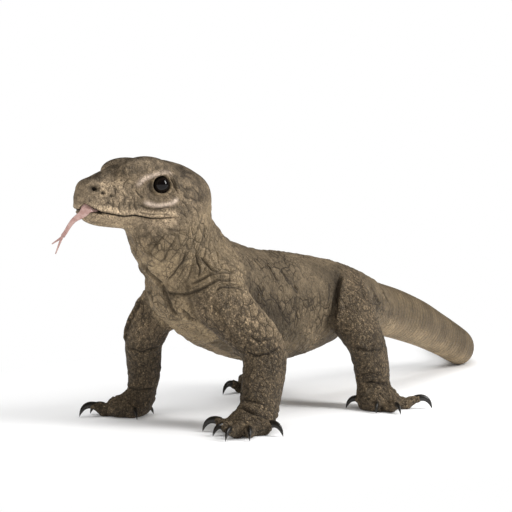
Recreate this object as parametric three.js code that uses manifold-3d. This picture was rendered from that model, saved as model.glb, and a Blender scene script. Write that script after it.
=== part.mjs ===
// A still, life-size model of a young Komodo dragon, standing on four feet with its head raised,
// its forked tongue out and its tail laid on the floor behind it.
//
// Millimetres, +Z up. The animal faces -Y and its left side is +X. The floor is z = 0.
//
// The flesh is one implicit body: tubes of elliptical section run through the trunk, the neck, the head
// and each limb, and blend where they meet. Each named part is the skin of that body inside its own block.
// The blocks share flat faces and stand SEAM apart, so the parts meet face to face.

import * as THREE from 'three';
import { mergeVertices } from 'three/addons/utils/BufferGeometryUtils.js';
import Module from 'manifold-3d';

const wasm = await Module();
wasm.setup();

// ---------------------------------------------------------------- driving dimensions

const SEAM = 0.3; // gap between two parts that touch
const CENTRE = [-44.05, 260.815]; // middle of the animal's bounding box in the body's own axes
const EVERYWHERE = 1500; // farther than any part reaches
const FLESH_BLEND = 11; // how far two tubes flow into each other

// The head's own axes: s runs back from the tip of the snout, w to the animal's left, z up.
const HEAD_TIP = [-28.7, -265]; // tip of the snout over the floor
const HEAD_YAW = 17; // degrees that the head is turned to the animal's right
const MOUTH_CORNER_S = 100; // how far back the corner of the mouth lies
const EYE = { s: 88, w: 30.5, z: 278, radius: 9.2 };
const EAR = { s: 131, z: 262, radius: 5 };
const NOSTRIL = { s: 11.5, w: 13, z: 273, radius: 2.7 };

const CLAW_CLEARANCE = 0.6; // height of a claw's point over the floor

// ---------------------------------------------------------------- small helpers

const UP = new THREE.Vector3(0, 0, 1);
const ACROSS = new THREE.Vector3(1, 0, 0);

const vec = (a) => new THREE.Vector3(a[0], a[1], a[2]);
const lerp = THREE.MathUtils.lerp;
const radians = THREE.MathUtils.degToRad;

// A point of the head, given along, across and up.
function onHead(s, w, z) {
  const yaw = radians(HEAD_YAW);
  const back = [Math.sin(yaw), Math.cos(yaw)];
  const left = [Math.cos(yaw), -Math.sin(yaw)];
  return [HEAD_TIP[0] + s * back[0] + w * left[0], HEAD_TIP[1] + s * back[1] + w * left[1], z];
}

// ---------------------------------------------------------------- the implicit body

function smoothMin(a, b, blend) {
  const h = Math.max(blend - Math.abs(a - b), 0) / blend;
  return Math.min(a, b) - (h * h * blend) / 4;
}

// A tube through stations [x, y, z, half width, half height]; its width lies along `side`.
function tube(stations, samples, side = null) {
  const middle = new THREE.CatmullRomCurve3(stations.map(vec), false, 'centripetal');
  const sizes = new THREE.CatmullRomCurve3(stations.map((q) => new THREE.Vector3(q[3], q[4] ?? q[3], 0)));
  const rings = [];
  const last = stations.length - 1;
  for (let i = 0; i <= samples; i++) {
    const t = i / samples;
    const k = Math.min(Math.floor(t * last), last - 1);
    const size = sizes.getPoint(t);
    const tangent = middle.getTangent(t);
    const wide = (side ?? new THREE.Vector3().crossVectors(UP, tangent)).clone();
    wide.addScaledVector(tangent, -wide.dot(tangent)).normalize();
    rings.push({ at: middle.getPoint(t), along: tangent, wide, a: size.x, b: size.y, k });
  }
  return rings;
}

// Signed distance, near enough, from a point to a tube.
function tubeDistance(rings, p) {
  let best = Infinity;
  const axis = new THREE.Vector3();
  const q = new THREE.Vector3();
  const wide = new THREE.Vector3();
  const tall = new THREE.Vector3();
  for (let i = 0; i + 1 < rings.length; i++) {
    const from = rings[i];
    const to = rings[i + 1];
    axis.subVectors(to.at, from.at);
    const length = axis.length();
    axis.divideScalar(length);
    q.subVectors(p, from.at);
    const t = THREE.MathUtils.clamp(q.dot(axis) / length, 0, 1);
    q.addScaledVector(axis, -t * length);
    wide.lerpVectors(from.wide, to.wide, t).normalize();
    tall.crossVectors(axis, wide).normalize();
    const a = lerp(from.a, to.a, t);
    const b = lerp(from.b, to.b, t);
    const x = q.dot(wide);
    const y = q.dot(tall);
    const z = q.dot(axis);
    const end = Math.min(a, b);
    const scaled = Math.hypot(x / a, y / b, z / end);
    const reach = q.length();
    const d = scaled < 1e-6 ? -end : (scaled - 1) * (reach / scaled);
    best = Math.min(best, d);
  }
  return best;
}

// Signed distance, near enough, to an ellipsoid that may be turned about the vertical.
function lump(at, radii, yaw = 0) {
  const c = Math.cos(yaw);
  const s = Math.sin(yaw);
  return (p) => {
    const dx = p.x - at[0];
    const dy = p.y - at[1];
    const x = c * dx + s * dy;
    const y = -s * dx + c * dy;
    const z = p.z - at[2];
    const scaled = Math.hypot(x / radii[0], y / radii[1], z / radii[2]);
    const reach = Math.hypot(x, y, z);
    return scaled < 1e-6 ? -Math.min(...radii) : (scaled - 1) * (reach / scaled);
  };
}

// ---------------------------------------------------------------- the body's tubes

// The axis of trunk and tail, from the breast to the tail's tip: x, y, height of the middle, half width,
// half height. The tail comes down to the floor, lies on it and curls to the animal's right.
const AXIS = [
  [0, -124, 157, 44, 44],
  [0, -98, 154, 51, 55],
  [0, -66, 147, 55, 66],
  [0, -19, 134, 59, 69],
  [0, 30, 129, 61, 70],
  [0, 94, 129, 60, 62.5],
  [0, 145, 131, 54, 51],
  [0, 190, 125.5, 46, 44.5],
  [-2, 240, 114, 37, 37.5],
  [-8, 300, 103.5, 32, 35],
  [-15, 350, 92, 30, 34],
  [-24, 400, 79.5, 28, 32.8],
  [-35, 450, 65.5, 26.5, 31],
  [-45, 505, 48.5, 25, 29.5],
  [-57, 562, 30, 24, 28.5],
  [-90, 618, 22.5, 22, 23.5],
  [-137, 668, 18, 18.5, 18.8],
  [-184, 715, 14.2, 14.6, 14.8],
  [-218, 762, 10, 10.2, 10.4],
  [-240, 815, 5.6, 5.8, 6],
];
const TAIL_START = 8; // the ring of the axis where the tail begins
const TAIL_PARTS = 6;

const NECK = [
  [0, -78, 150, 46, 54],
  [1, -103, 180, 46.5, 47],
  [2, -123, 198, 48.5, 48.5],
  [3, -145, 215, 50, 50],
  [4, -155, 232, 49, 49.5],
  [3, -154, 250, 42, 43],
];

// Head: distance back from the snout, half width, top and underside.
const HEAD_SHAPE = [
  [8.5, 11.5, 275, 240.5],
  [15, 17, 284, 235],
  [27, 21, 290, 231.5],
  [42, 25.5, 296.5, 230],
  [60, 29.5, 302.5, 228.5],
  [78, 33.5, 306.5, 226],
  [96, 37, 307.5, 225],
  [114, 39, 304, 225],
  [131, 36.5, 296, 228],
];
const HEAD = HEAD_SHAPE.map(([s, wide, top, under]) => (
  [...onHead(s, 0, (top + under) / 2), wide, (top - under) / 2]
));

// Each limb is given for the left side: x, y, z, radius.
const FORE_LEFT = [
  [44, -120, 160, 34],
  [60, -116, 136, 31],
  [78, -96, 108, 28],
  [88, -86, 88, 26],
  [93, -92, 64, 25],
  [97, -102, 42, 24],
  [99, -107, 26, 23],
];
const FORE_RIGHT = [
  [37, -102, 156, 28],
  [53, -109, 136, 27.5],
  [71, -115, 108, 26],
  [79, -114, 88, 23.3],
  [82, -110, 64, 21.5],
  [85, -108, 42, 19],
  [86, -110, 26, 18],
].map(mirroredStation);
const HIND_LEFT = [
  [40, 122, 138, 36],
  [62, 112, 124, 32],
  [82, 102, 104, 28],
  [93, 105, 84, 24.5],
  [96, 112, 60, 22.8],
  [97, 114, 42, 22.2],
  [98, 114, 26, 21.5],
];
const HIND_RIGHT = [
  [40, 122, 138, 36],
  [64, 120, 122, 32],
  [86, 118, 102, 28],
  [97, 122, 82, 25],
  [104, 135, 60, 23],
  [110, 144, 42, 22],
  [114, 147, 26, 21.5],
].map(mirroredStation);

function mirroredStation(station) {
  return [-station[0], ...station.slice(1)];
}

// Feet: middle of the palm or sole, its size, and the point of each claw over the floor, from the
// first toe to the fifth.
const FEET = {
  hand_left: {
    palm: [97, -124, 11], size: [28, 27, 17],
    tips: [[52, -151], [84, -169], [115, -183], [134, -165], [143, -119]],
    toe: [8, 8.4, 8.6, 8.4, 8], claw: [18, 13, 14, 14, 17],
  },
  hand_right: {
    palm: [-96, -124, 11], size: [27, 28, 15.5],
    tips: [[-77, -99], [-61, -143], [-131, -171], [-138, -147], [-139, -116]],
    toe: [7.4, 8.2, 8.2, 7.8, 7.4], claw: [12, 12, 18, 14, 15],
  },
  foot_left: {
    palm: [107, 115, 11], size: [28, 29, 18],
    tips: [[74, 90], [128, 79], [155, 92], [157, 158], [90, 158]],
    toe: [7.4, 8.4, 8.8, 8, 7], claw: [16, 12, 12, 18, 14],
  },
  foot_right: {
    palm: [-119, 146, 11], size: [28, 29, 16.5],
    tips: [[-72, 128], [-80, 104], [-98, 88], [-122, 78], [-165, 168]],
    toe: [7.2, 7.6, 8, 8.2, 7], claw: [13, 14, 15, 18, 14],
  },
};

const axisRings = tube(AXIS, 76);
const neckRings = tube(NECK, 15, ACROSS);
const headRings = tube(HEAD, 24);

const browYaw = -radians(HEAD_YAW);
const headLumps = [
  { at: onHead(70, 24.5, 294.6), size: [10.5, 28, 14.2], blend: 18 }, // brow over the left eye
  { at: onHead(70, -24.5, 294.6), size: [10.5, 28, 14.2], blend: 18 },
  { at: onHead(112, 27, 258), size: [14, 24, 28], blend: 14 }, // jaw muscles
  { at: onHead(112, -27, 258), size: [14, 24, 28], blend: 14 },
  { at: onHead(15, 9.5, 276), size: [7.5, 10, 7.5], blend: 7 }, // swelling round each nostril
  { at: onHead(15, -9.5, 276), size: [7.5, 10, 7.5], blend: 7 },
].map(({ at, size, blend }) => ({ field: lump(at, size, browYaw), blend }));

// Swellings of the shoulders and haunches, which carry the limbs.
const girdles = [
  lump([38, -110, 160], [29, 38, 43]),
  lump([-34, -104, 160], [26, 34, 42]),
  lump([34, 130, 134], [30, 44, 36]),
  lump([-34, 130, 134], [30, 44, 36]),
];

function headField(p) {
  let d = tubeDistance(headRings, p);
  for (const { field, blend } of headLumps) {
    d = smoothMin(d, field(p), blend);
  }
  return d;
}

function axialField(p) {
  const neckAndHead = smoothMin(tubeDistance(neckRings, p), headField(p), 12);
  return smoothMin(tubeDistance(axisRings, p), neckAndHead, 22);
}

function trunkField(p) {
  return girdles.reduce((d, girdle) => smoothMin(d, girdle(p), 20), axialField(p));
}

// ---------------------------------------------------------------- skin: rings drawn round the field

// How far the skin lies from a point inside the flesh, along a direction.
function reachOf(field, from, direction, farthest) {
  const p = new THREE.Vector3();
  const step = 3;
  let inner = 0;
  let outer = step;
  while (outer < farthest && field(p.copy(from).addScaledVector(direction, outer)) < 0) {
    inner = outer;
    outer += step;
  }
  if (outer >= farthest) {
    return farthest;
  }
  for (let i = 0; i < 12; i++) {
    const middle = (inner + outer) / 2;
    if (field(p.copy(from).addScaledVector(direction, middle)) < 0) {
      inner = middle;
    } else {
      outer = middle;
    }
  }
  return inner;
}

// Closed mesh of the skin round a stretch of a tube: `pointed` ends run out to the skin ahead of them,
// and `grow` lifts the mesh off the skin. A ring with a reach of its own goes no farther than that.
function wrap(field, rings, sides, farthest, pointed = [false, false], grow = 0) {
  const count = rings.length;
  const positions = [];
  rings.forEach(({ at, along, wide, reach = farthest }) => {
    const right = wide.clone().addScaledVector(along, -wide.dot(along)).normalize();
    const tall = new THREE.Vector3().crossVectors(right, along);
    for (let k = 0; k < sides; k++) {
      const turn = (2 * Math.PI * k) / sides;
      const out = right.clone().multiplyScalar(Math.cos(turn)).addScaledVector(tall, Math.sin(turn));
      positions.push(...at.clone().addScaledVector(out, reachOf(field, at, out, reach) + grow).toArray());
    }
  });
  const tips = [rings[0], rings[count - 1]].map(({ at, along }, end) => {
    const ahead = along.clone().multiplyScalar(end ? 1 : -1);
    return at.clone().addScaledVector(ahead, pointed[end] ? reachOf(field, at, ahead, farthest) : 0);
  });
  return closedRings(positions, count, sides, tips);
}

// Joins rings of points, each with `sides` of them, into a closed mesh with a point at either end.
// Without `tips` the last ring is joined to the first.
function closedRings(positions, count, sides, tips) {
  const index = [];
  for (let r = 0; r < (tips ? count - 1 : count); r++) {
    const from = r * sides;
    const to = ((r + 1) % count) * sides;
    for (let k = 0; k < sides; k++) {
      const next = (k + 1) % sides;
      index.push(from + k, to + next, from + next, from + k, to + k, to + next);
    }
  }
  const all = [...positions];
  if (tips) {
    const first = positions.length / 3;
    const base = (count - 1) * sides;
    for (let k = 0; k < sides; k++) {
      const next = (k + 1) % sides;
      index.push(first, k, next, first + 1, base + next, base + k);
    }
    all.push(...tips[0].toArray(), ...tips[1].toArray());
  }
  const geometry = new THREE.BufferGeometry();
  geometry.setAttribute('position', new THREE.Float32BufferAttribute(all, 3));
  geometry.setIndex(index);
  return geometry;
}

// ---------------------------------------------------------------- solids, cuts and joins

function solid(geometry) {
  const plain = geometry.clone();
  plain.deleteAttribute('normal');
  plain.deleteAttribute('uv');
  const merged = mergeVertices(plain, 1e-4);
  return new wasm.Manifold(new wasm.Mesh({
    numProp: 3,
    vertProperties: new Float32Array(merged.attributes.position.array),
    triVerts: new Uint32Array(merged.index.array),
  }));
}

// The largest closed surface of a solid; it drops loose scraps and fills sealed hollows.
function largest(body) {
  return body.decompose().reduce((a, b) => (b.volume() > a.volume() ? b : a));
}

function geometryOf(body) {
  const { vertProperties, triVerts } = body.getMesh();
  const geometry = new THREE.BufferGeometry();
  geometry.setAttribute('position', new THREE.Float32BufferAttribute(vertProperties, 3));
  geometry.setIndex(Array.from(triVerts));
  return geometry;
}

// A block with its z axis along `along`, from `low` to `high` in its own axes.
function block(at, along, low, high, side = ACROSS) {
  const z = vec(along).normalize();
  const x = side.clone().addScaledVector(z, -side.dot(z)).normalize();
  const y = new THREE.Vector3().crossVectors(z, x);
  return { at: vec(at), x, y, z, low, high };
}

// The solid of a block, grown or shrunk on every face.
function blockSolid({ at, x, y, z, low, high }, grow) {
  const size = [0, 1, 2].map((m) => high[m] - low[m] + 2 * grow);
  const geometry = new THREE.BoxGeometry(...size);
  geometry.translate(...[0, 1, 2].map((m) => (high[m] + low[m]) / 2));
  geometry.applyMatrix4(new THREE.Matrix4().makeBasis(x, y, z).setPosition(at));
  return solid(geometry);
}

// Everything between two heights, clear of both by half a seam.
function between(low, high) {
  const corner = EVERYWHERE;
  const slab = block([0, 0, 0], [0, 0, 1], [-corner, -corner, low], [corner, corner, high]);
  return blockSolid(slab, -SEAM / 2);
}

const aboveFloor = between(-SEAM / 2, EVERYWHERE);

// ---------------------------------------------------------------- the blocks that part the body

const headForward = vec(onHead(0, 0, 0)).sub(vec(onHead(1, 0, 0)));
const headLeft = vec(onHead(0, 1, 0)).sub(vec(onHead(0, 0, 0)));
// The head parts from the neck along a slanting flat, from the nape to the throat.
const headEnd = headForward.clone().multiplyScalar(0.5).addScaledVector(UP, 0.866).toArray();

const ANKLE_Z = 27; // height where hand and foot end
const ELBOW_Z = 86;
const KNEE_Z = 84;

// Where each limb leaves the trunk: a flat face inside the flesh, its middle and its heading.
// Both are given for the left side.
const SHOULDER = { at: [40, -114, 146], along: [0.88, 0.06, -0.47] };
const HIP = { at: [38, 114, 134], along: [0.9, -0.05, -0.43] };

const ROOT_HALF = 80; // half the width of a limb's share of the trunk
const ROOT_DEEP = 120;

// All that lies outward of such a face.
function rootBlock({ at, along }, side) {
  const middle = [side * at[0], at[1], at[2]];
  const heading = [side * along[0], along[1], along[2]];
  return block(middle, heading, [-ROOT_HALF, -ROOT_HALF, 0], [ROOT_HALF, ROOT_HALF, ROOT_DEEP]);
}

const tailRings = axisRings.slice(axisRings.findIndex(({ k }) => k === TAIL_START - 1));

const TAIL_BASE_HALF = 66; // half the width of the block at the tail's base, which the rump fills
const TAIL_HALF = 46;
const TAIL_OVERLAP = 24; // how far a block reaches into the next one's, which takes its share first

function tailBlock(part) {
  const step = (tailRings.length - 1) / TAIL_PARTS;
  const from = tailRings[Math.round(part * step)].at;
  const to = tailRings[Math.round((part + 1) * step)].at;
  const along = to.clone().sub(from);
  const wide = part === 0 ? TAIL_BASE_HALF : TAIL_HALF;
  const deep = along.length() + TAIL_OVERLAP;
  return block(from.toArray(), along.toArray(), [-wide, -wide, 0], [wide, wide, deep]);
}

const tailNames = Array.from({ length: TAIL_PARTS }, (_, i) => `tail_${i + 1}`);

// Blocks in the order in which they take their share; a later one gets what is left of its space.
const blocks = {
  head: block(onHead(132, 0, 250), headEnd, [-90, -150, 0], [90, 90, 170]),
  neck: block([0, -108, 186], [0, -0.6, 0.8], [-70, -70, 0], [70, 70, 105]),
  ...Object.fromEntries(tailNames.map((name, i) => [name, tailBlock(i)]).reverse()),
  pelvis: block([0, 95, 135], [0, 1, 0], [-82, -92, 0], [82, 62, 130]),
  belly: block([0, -25, 135], [0, 1, 0], [-82, -92, 0], [82, 92, 120]),
  chest: block([0, -195, 145], [0, 1, 0], [-92, -96, 0], [92, 75, 170]),
};

// Keeps of a solid what lies in one block and in none before it.
function partOf(name, body) {
  let share = body.intersect(blockSolid(blocks[name], -SEAM / 2));
  for (const [other, taken] of Object.entries(blocks)) {
    if (other === name) {
      break;
    }
    share = share.subtract(blockSolid(taken, SEAM / 2));
  }
  return largest(share.intersect(aboveFloor));
}

// ---------------------------------------------------------------- skins of trunk, neck, tail and limbs

const TRUNK_SIDES = 20;
const TAIL_SIDES = 14;
const LIMB_SIDES = 14;
const PAW_SIDES = 16;
const LEVEL_LIMB_Z = 70; // below this height a limb's rings lie level
const INNER_LIMB_Z = 95; // above this height a limb meets the trunk
const LIMB_GIRTH = 1.22; // width of a limb's root against its tube

const BACKWARD = new THREE.Vector3(0, 1, 0);
const DOWN = new THREE.Vector3(0, 0, -1);

function trunkSolid() {
  const stations = [-168, -156, -138, -116, -92, -66, -40, -12, 18, 48, 78, 104, 128, 150, 172, 196, 222];
  const rings = stations.map((y) => (
    { at: new THREE.Vector3(0, y, axisHeight(y)), wide: ACROSS, along: BACKWARD }
  ));
  return solid(wrap(trunkField, rings, TRUNK_SIDES, 78, [true, false]));
}

// Height of the axis at a place along the trunk.
function axisHeight(y) {
  const ring = axisRings.find(({ at }) => at.y >= y);
  return ring.at.z;
}

// The line across the throat that the rings of the nape fan out from: back from the snout, height.
const THROAT = { s: 75, z: 203 };
const FAN_RADIUS = 58;
const HEAD_SIDES = 26;

// Neck and head in one: rings square to the neck, a fan of rings about the throat, then upright rings.
function headAndNeckSolid() {
  const rings = neckRings.filter(({ at }, i) => i % 2 === 0 && at.z < 222);
  for (let turn = 46; turn <= 88; turn += 6) {
    const c = Math.cos(radians(turn));
    const s = Math.sin(radians(turn));
    const at = vec(onHead(THROAT.s + FAN_RADIUS * c, 0, THROAT.z + FAN_RADIUS * s));
    const along = headForward.clone().multiplyScalar(s).addScaledVector(UP, c);
    rings.push({ at, wide: headLeft, along });
  }
  for (let s = THROAT.s - 4; s > HEAD_SHAPE[0][0]; s -= s > 30 ? 6.5 : 5) {
    rings.push({ at: vec(onHead(s, 0, 259)), wide: headLeft, along: headForward });
  }
  return solid(wrap(trunkField, rings, HEAD_SIDES, 92, [false, true]));
}

function tailSolid() {
  const rings = tailRings.filter((_, i) => i % 2 === 0 || i > tailRings.length - 4);
  return solid(wrap(axialField, rings, TAIL_SIDES, 70, [false, true]));
}

function limbField(limb, foot) {
  const paw = lump(foot.palm, foot.size);
  return (p) => {
    const leg = smoothMin(trunkField(p), tubeDistance(limb, p), FLESH_BLEND);
    return smoothMin(leg, paw(p), 12);
  };
}

// A limb's rings turn level towards its foot, and inside the trunk they keep to the limb's own girth.
function limbRings(limb) {
  const rings = limb.map(({ at, along, wide, a }) => {
    const turn = THREE.MathUtils.clamp((LEVEL_LIMB_Z + 40 - at.z) / 40, 0, 1);
    const reach = at.z > INNER_LIMB_Z ? LIMB_GIRTH * a : 54;
    return { at, wide, reach, along: along.clone().lerp(DOWN, turn).normalize() };
  });
  const end = rings[rings.length - 1];
  return [...rings, { ...end, at: end.at.clone().setZ(ANKLE_Z - 10) }];
}

function limbSolid(field, limb, grow) {
  return solid(wrap(field, limbRings(limb), LIMB_SIDES, 54, [false, false], grow));
}

// The palm or sole: level rings from the wrist down to just under the floor.
function soleSolid(field, limb, foot) {
  const wrist = limb[limb.length - 1].at;
  const heights = [ANKLE_Z + 3, 22, 17, 12, 7, 3, -1];
  const rings = heights.map((z) => {
    const t = THREE.MathUtils.clamp((wrist.z - z) / (wrist.z - foot.palm[2]), 0, 1);
    const at = new THREE.Vector3(lerp(wrist.x, foot.palm[0], t), lerp(wrist.y, foot.palm[1], t), z);
    return { at, wide: ACROSS, along: DOWN };
  });
  return solid(wrap(field, rings, PAW_SIDES, 50));
}

// ---------------------------------------------------------------- lofts: toes, claws, lips and tongue

// Closed mesh through rings of { at, wide, tall, a, b }; `loop` joins the last ring to the first.
function loft(rings, sides, loop = false) {
  const positions = [];
  for (const { at, wide, tall, a, b } of rings) {
    for (let k = 0; k < sides; k++) {
      const turn = (2 * Math.PI * k) / sides;
      positions.push(...at.clone().addScaledVector(wide, a * Math.cos(turn))
        .addScaledVector(tall, b * Math.sin(turn)).toArray());
    }
  }
  return closedRings(positions, rings.length, sides, loop ? null : [rings[0].at, rings[rings.length - 1].at]);
}

// Rings along a curve; `size` gives the half width and half height at each share of its length.
function ringsAlong(curve, steps, size, up = UP) {
  const rings = [];
  for (let i = 0; i <= steps; i++) {
    const t = i / steps;
    const tangent = curve.getTangent(t);
    const wide = new THREE.Vector3().crossVectors(tangent, up).normalize();
    const tall = new THREE.Vector3().crossVectors(wide, tangent).normalize();
    const [a, b] = size(t);
    rings.push({ at: curve.getPoint(t), wide, tall, a, b });
  }
  return rings;
}

const TOE_END_LOW = 5.2; // height of the last joint, which the claw grows from, for no claw at all
const TOE_END_RISE = 0.4; // how much that height grows with the length of the claw
const TOE_SINK = 0.9; // how far a toe's round underside is pressed flat by the floor
const TOE_SWELL = 1.14; // girth of a toe at the palm
const TOE_TAPER = 0.84; // and at its end
const KNUCKLE_SWELL = 0.1;
const CLAW_ROOT = 4.6; // half the height of a long claw where it leaves the toe
const CLAW_ARCH = 0.3; // how high over its root a claw arches, as a share of its length
const LONG_CLAW = 18;
const CLAW_SIDES = 6;

// A toe's heading over the floor, and the middle of its flat end.
function toeEnd(palm, tip, clawLength) {
  const out = new THREE.Vector3(tip[0] - palm[0], tip[1] - palm[1], 0).normalize();
  const height = TOE_END_LOW + TOE_END_RISE * clawLength;
  const end = new THREE.Vector3(tip[0], tip[1], height).addScaledVector(out, -clawLength * 0.86);
  return { out, end };
}

function toeSolid(palm, tip, thick, clawLength) {
  const { out, end } = toeEnd(palm, tip, clawLength);
  const root = new THREE.Vector3(palm[0], palm[1], palm[2]).addScaledVector(out, 6);
  const knuckle = root.clone().lerp(end, 0.64).setZ(thick - TOE_SINK);
  const path = new THREE.CatmullRomCurve3([root, knuckle, end, end.clone().addScaledVector(out, 2.5)]);
  const size = (t) => {
    const joint = 1 + KNUCKLE_SWELL * Math.cos(2 * Math.PI * (t * 1.6 - 1));
    const r = lerp(thick * TOE_SWELL, thick * TOE_TAPER, t) * joint;
    return [r, r];
  };
  return solid(loft(ringsAlong(path, 6, size), 7));
}

// A claw leaves the flat end of its toe, arches over and comes down to a point.
function clawSolid(palm, tip, clawLength) {
  const { out, end } = toeEnd(palm, tip, clawLength);
  const root = end.clone().addScaledVector(out, -1);
  const point = new THREE.Vector3(tip[0], tip[1], CLAW_CLEARANCE);
  const crest = root.clone().addScaledVector(out, clawLength * 0.66).setZ(end.z + CLAW_ARCH * clawLength);
  const girth = CLAW_ROOT * Math.sqrt(clawLength / LONG_CLAW);
  const path = new THREE.QuadraticBezierCurve3(root, crest, point);
  const size = (t) => {
    const r = girth * Math.pow(1 - t, 0.7) + 0.32;
    return [r * 0.74, r];
  };
  return solid(loft(ringsAlong(path, 5, size), CLAW_SIDES));
}

// The flat where a toe ends and its claw begins, as a block that holds the claw.
function clawBlock(palm, tip, clawLength) {
  const { out, end } = toeEnd(palm, tip, clawLength);
  return block(end.toArray(), out.toArray(), [-16, -14, 0], [14, 14, 30], UP);
}

// A hand or foot with its toes, and its five claws.
function paw(name, field, limb) {
  const foot = FEET[name];
  const toes = foot.tips.map((tip, i) => toeSolid(foot.palm, tip, foot.toe[i], foot.claw[i]));
  const whole = toes.reduce((body, toe) => body.add(toe), soleSolid(field, limb, foot));
  let body = whole.intersect(between(-SEAM, ANKLE_Z)).intersect(aboveFloor);
  const claws = foot.tips.map((tip, i) => {
    const end = clawBlock(foot.palm, tip, foot.claw[i]);
    body = body.subtract(blockSolid(end, SEAM / 2));
    return clawSolid(foot.palm, tip, foot.claw[i]).intersect(blockSolid(end, -SEAM / 2));
  });
  return { body: largest(body), claws };
}

// ---------------------------------------------------------------- head: lips, lids, nostrils, ears

// Height of the mouth along the head: distance back from the snout, height.
const MOUTH = [[-12, 250.5], [6, 250], [24, 246.6], [46, 242.6], [58, 243.8], [76, 240.4], [100, 241.8]];
const JAW_BACK = [[104, 236], [107, 200]]; // where the lower jaw ends behind the corner of the mouth
const LIP_GAP = 0.7;

// Height of the mouth at a place along the head.
function mouthHeight(s) {
  const t = THREE.MathUtils.clamp(s, MOUTH[1][0], MOUTH_CORNER_S);
  const i = MOUTH.findIndex(([at]) => at >= t);
  const [s0, z0] = MOUTH[i - 1];
  const [s1, z1] = MOUTH[i];
  return lerp(z0, z1, (t - s0) / (s1 - s0));
}

// Turns a shape drawn in (s, z) into a sheet across the whole head.
function acrossHead(shape, halfWidth) {
  const geometry = new THREE.ExtrudeGeometry(shape, { depth: 2 * halfWidth, bevelEnabled: false, steps: 1 });
  geometry.translate(0, 0, -halfWidth);
  const back = headForward.clone().negate();
  const across = new THREE.Vector3().crossVectors(back, UP);
  const place = new THREE.Matrix4().makeBasis(back, UP, across).setPosition(HEAD_TIP[0], HEAD_TIP[1], 0);
  return solid(geometry.applyMatrix4(place));
}

// The thin cut that parts the lips and, behind the corner of the mouth, the jaw from the throat.
function mouthKnife() {
  const line = MOUTH.map(([s, z]) => new THREE.Vector2(s, z));
  const rear = JAW_BACK.map(([s, z]) => new THREE.Vector2(s, z));
  const shifted = (ds, dz) => [
    ...line.map((q) => new THREE.Vector2(q.x, q.y + dz)),
    ...rear.map((q) => new THREE.Vector2(q.x + ds, q.y)),
  ];
  const upper = shifted(SEAM / 2, LIP_GAP / 2);
  const lower = shifted(-SEAM / 2, -LIP_GAP / 2);
  return acrossHead(new THREE.Shape([...upper, ...lower.reverse()]), 70);
}

// How far out the skin lies from the head's middle at a place given along and up.
function headReach(s, z, side) {
  const out = headLeft.clone().multiplyScalar(side);
  return reachOf(headField, vec(onHead(s, 0, z)), out, 60);
}

// A lip runs from one corner of the mouth round the snout to the other.
function lipSolid(lift, radius) {
  const sink = radius * 0.45;
  const chin = vec(onHead(34, 0, mouthHeight(6) + lift));
  const front = 34 - reachOf(headField, chin, headForward, 60) + sink;
  const along = [MOUTH_CORNER_S + 2, 84, 68, 52, 38, 26, 17, 11].filter((s) => s > front + 1);
  const half = (side) => along.map((s) => {
    const z = mouthHeight(s) + lift;
    return vec(onHead(s, side * (headReach(s, z, side) - sink), z));
  });
  const middle = vec(onHead(front, 0, mouthHeight(6) + lift));
  const path = new THREE.CatmullRomCurve3([...half(1), middle, ...half(-1).reverse()], false, 'centripetal');
  const size = (t) => {
    const fade = Math.min(1, 6 * Math.min(t, 1 - t) + 0.35);
    return [radius * fade, radius * fade];
  };
  return solid(loft(ringsAlong(path, 28, size), 5));
}

// A closed ridge round the eye, through `outline`: points [s, z] from the middle of the eye.
function ridgeSolid(side, outline, depthAt, thick, steps) {
  const points = outline.map(([ds, dz]) => {
    const s = EYE.s + ds;
    const z = EYE.z + dz;
    return vec(onHead(s, side * depthAt(s, z), z));
  });
  const path = new THREE.CatmullRomCurve3(points, true, 'centripetal');
  const outward = headLeft.clone().multiplyScalar(side);
  const rings = ringsAlong(path, steps, () => [thick, thick * 0.8], outward).slice(0, steps);
  return solid(loft(rings, 5, true));
}

// Rim of the lids, close round the eyeball, and the almond of the orbit: [s, z] from the eye's middle.
const LID = [[-12.5, 0.5], [-9, 6.5], [0, 9.6], [7.5, 7], [11.5, -0.5], [8, -7], [0, -9.6], [-9, -6.5]];
const ORBIT = [
  [-29, 0], [-21, 8.5], [-8, 13.5], [5, 15.5], [14, 12],
  [17, 1], [16.5, -10], [7, -18.5], [-6, -20.5], [-19, -16],
];

function lidSolid(side) {
  return ridgeSolid(side, LID, (s) => EYE.w + 2.6 + 0.1 * (s - EYE.s), 2.4, 18);
}

function orbitSolid(side) {
  return ridgeSolid(side, ORBIT, (s, z) => headReach(s, z, side) - 1, 2.4, 22);
}

function ball(at, radii, detail) {
  const geometry = new THREE.IcosahedronGeometry(1, detail);
  geometry.scale(...radii);
  geometry.rotateZ(browYaw);
  geometry.translate(...at);
  return solid(geometry);
}

// The tongue's middle line on the head, from inside the mouth to where it forks, with its half width there.
const TONGUE = [
  { at: [20, 10, 252], wide: 4.5 },
  { at: [8, 12.2, 253.3], wide: 7 }, // between the lips
  { at: [0.5, 12, 245.7], wide: 4.9 },
  { at: [-9, 10.5, 239.1], wide: 3.4 },
  { at: [-14.5, 10, 232.5], wide: 2.6 },
  { at: [-18, 9.8, 227], wide: 2.4 },
  { at: [-22, 9.5, 221.6], wide: 2.4 },
];
const TONGUE_TIPS = [[-33, 6, 213.5], [-31, 11, 203]];
const TONGUE_TIP_WIDE = 0.8; // half width of either tip
const TONGUE_THICK = { root: 1.7, fork: 1.3, tip: 0.5 }; // half thicknesses
const TONGUE_FACE = new THREE.Vector3(0.706, -0.532, 0.379); // where its rolled upper side faces

// A flat strand of flesh along a line of the head; `size` gives its half width and half thickness.
function strand(stations, steps, size) {
  const points = stations.map(([s, w, z]) => vec(onHead(s, w, z)));
  const path = new THREE.CatmullRomCurve3(points, false, 'centripetal');
  return solid(loft(ringsAlong(path, steps, size, TONGUE_FACE), 6));
}

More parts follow.
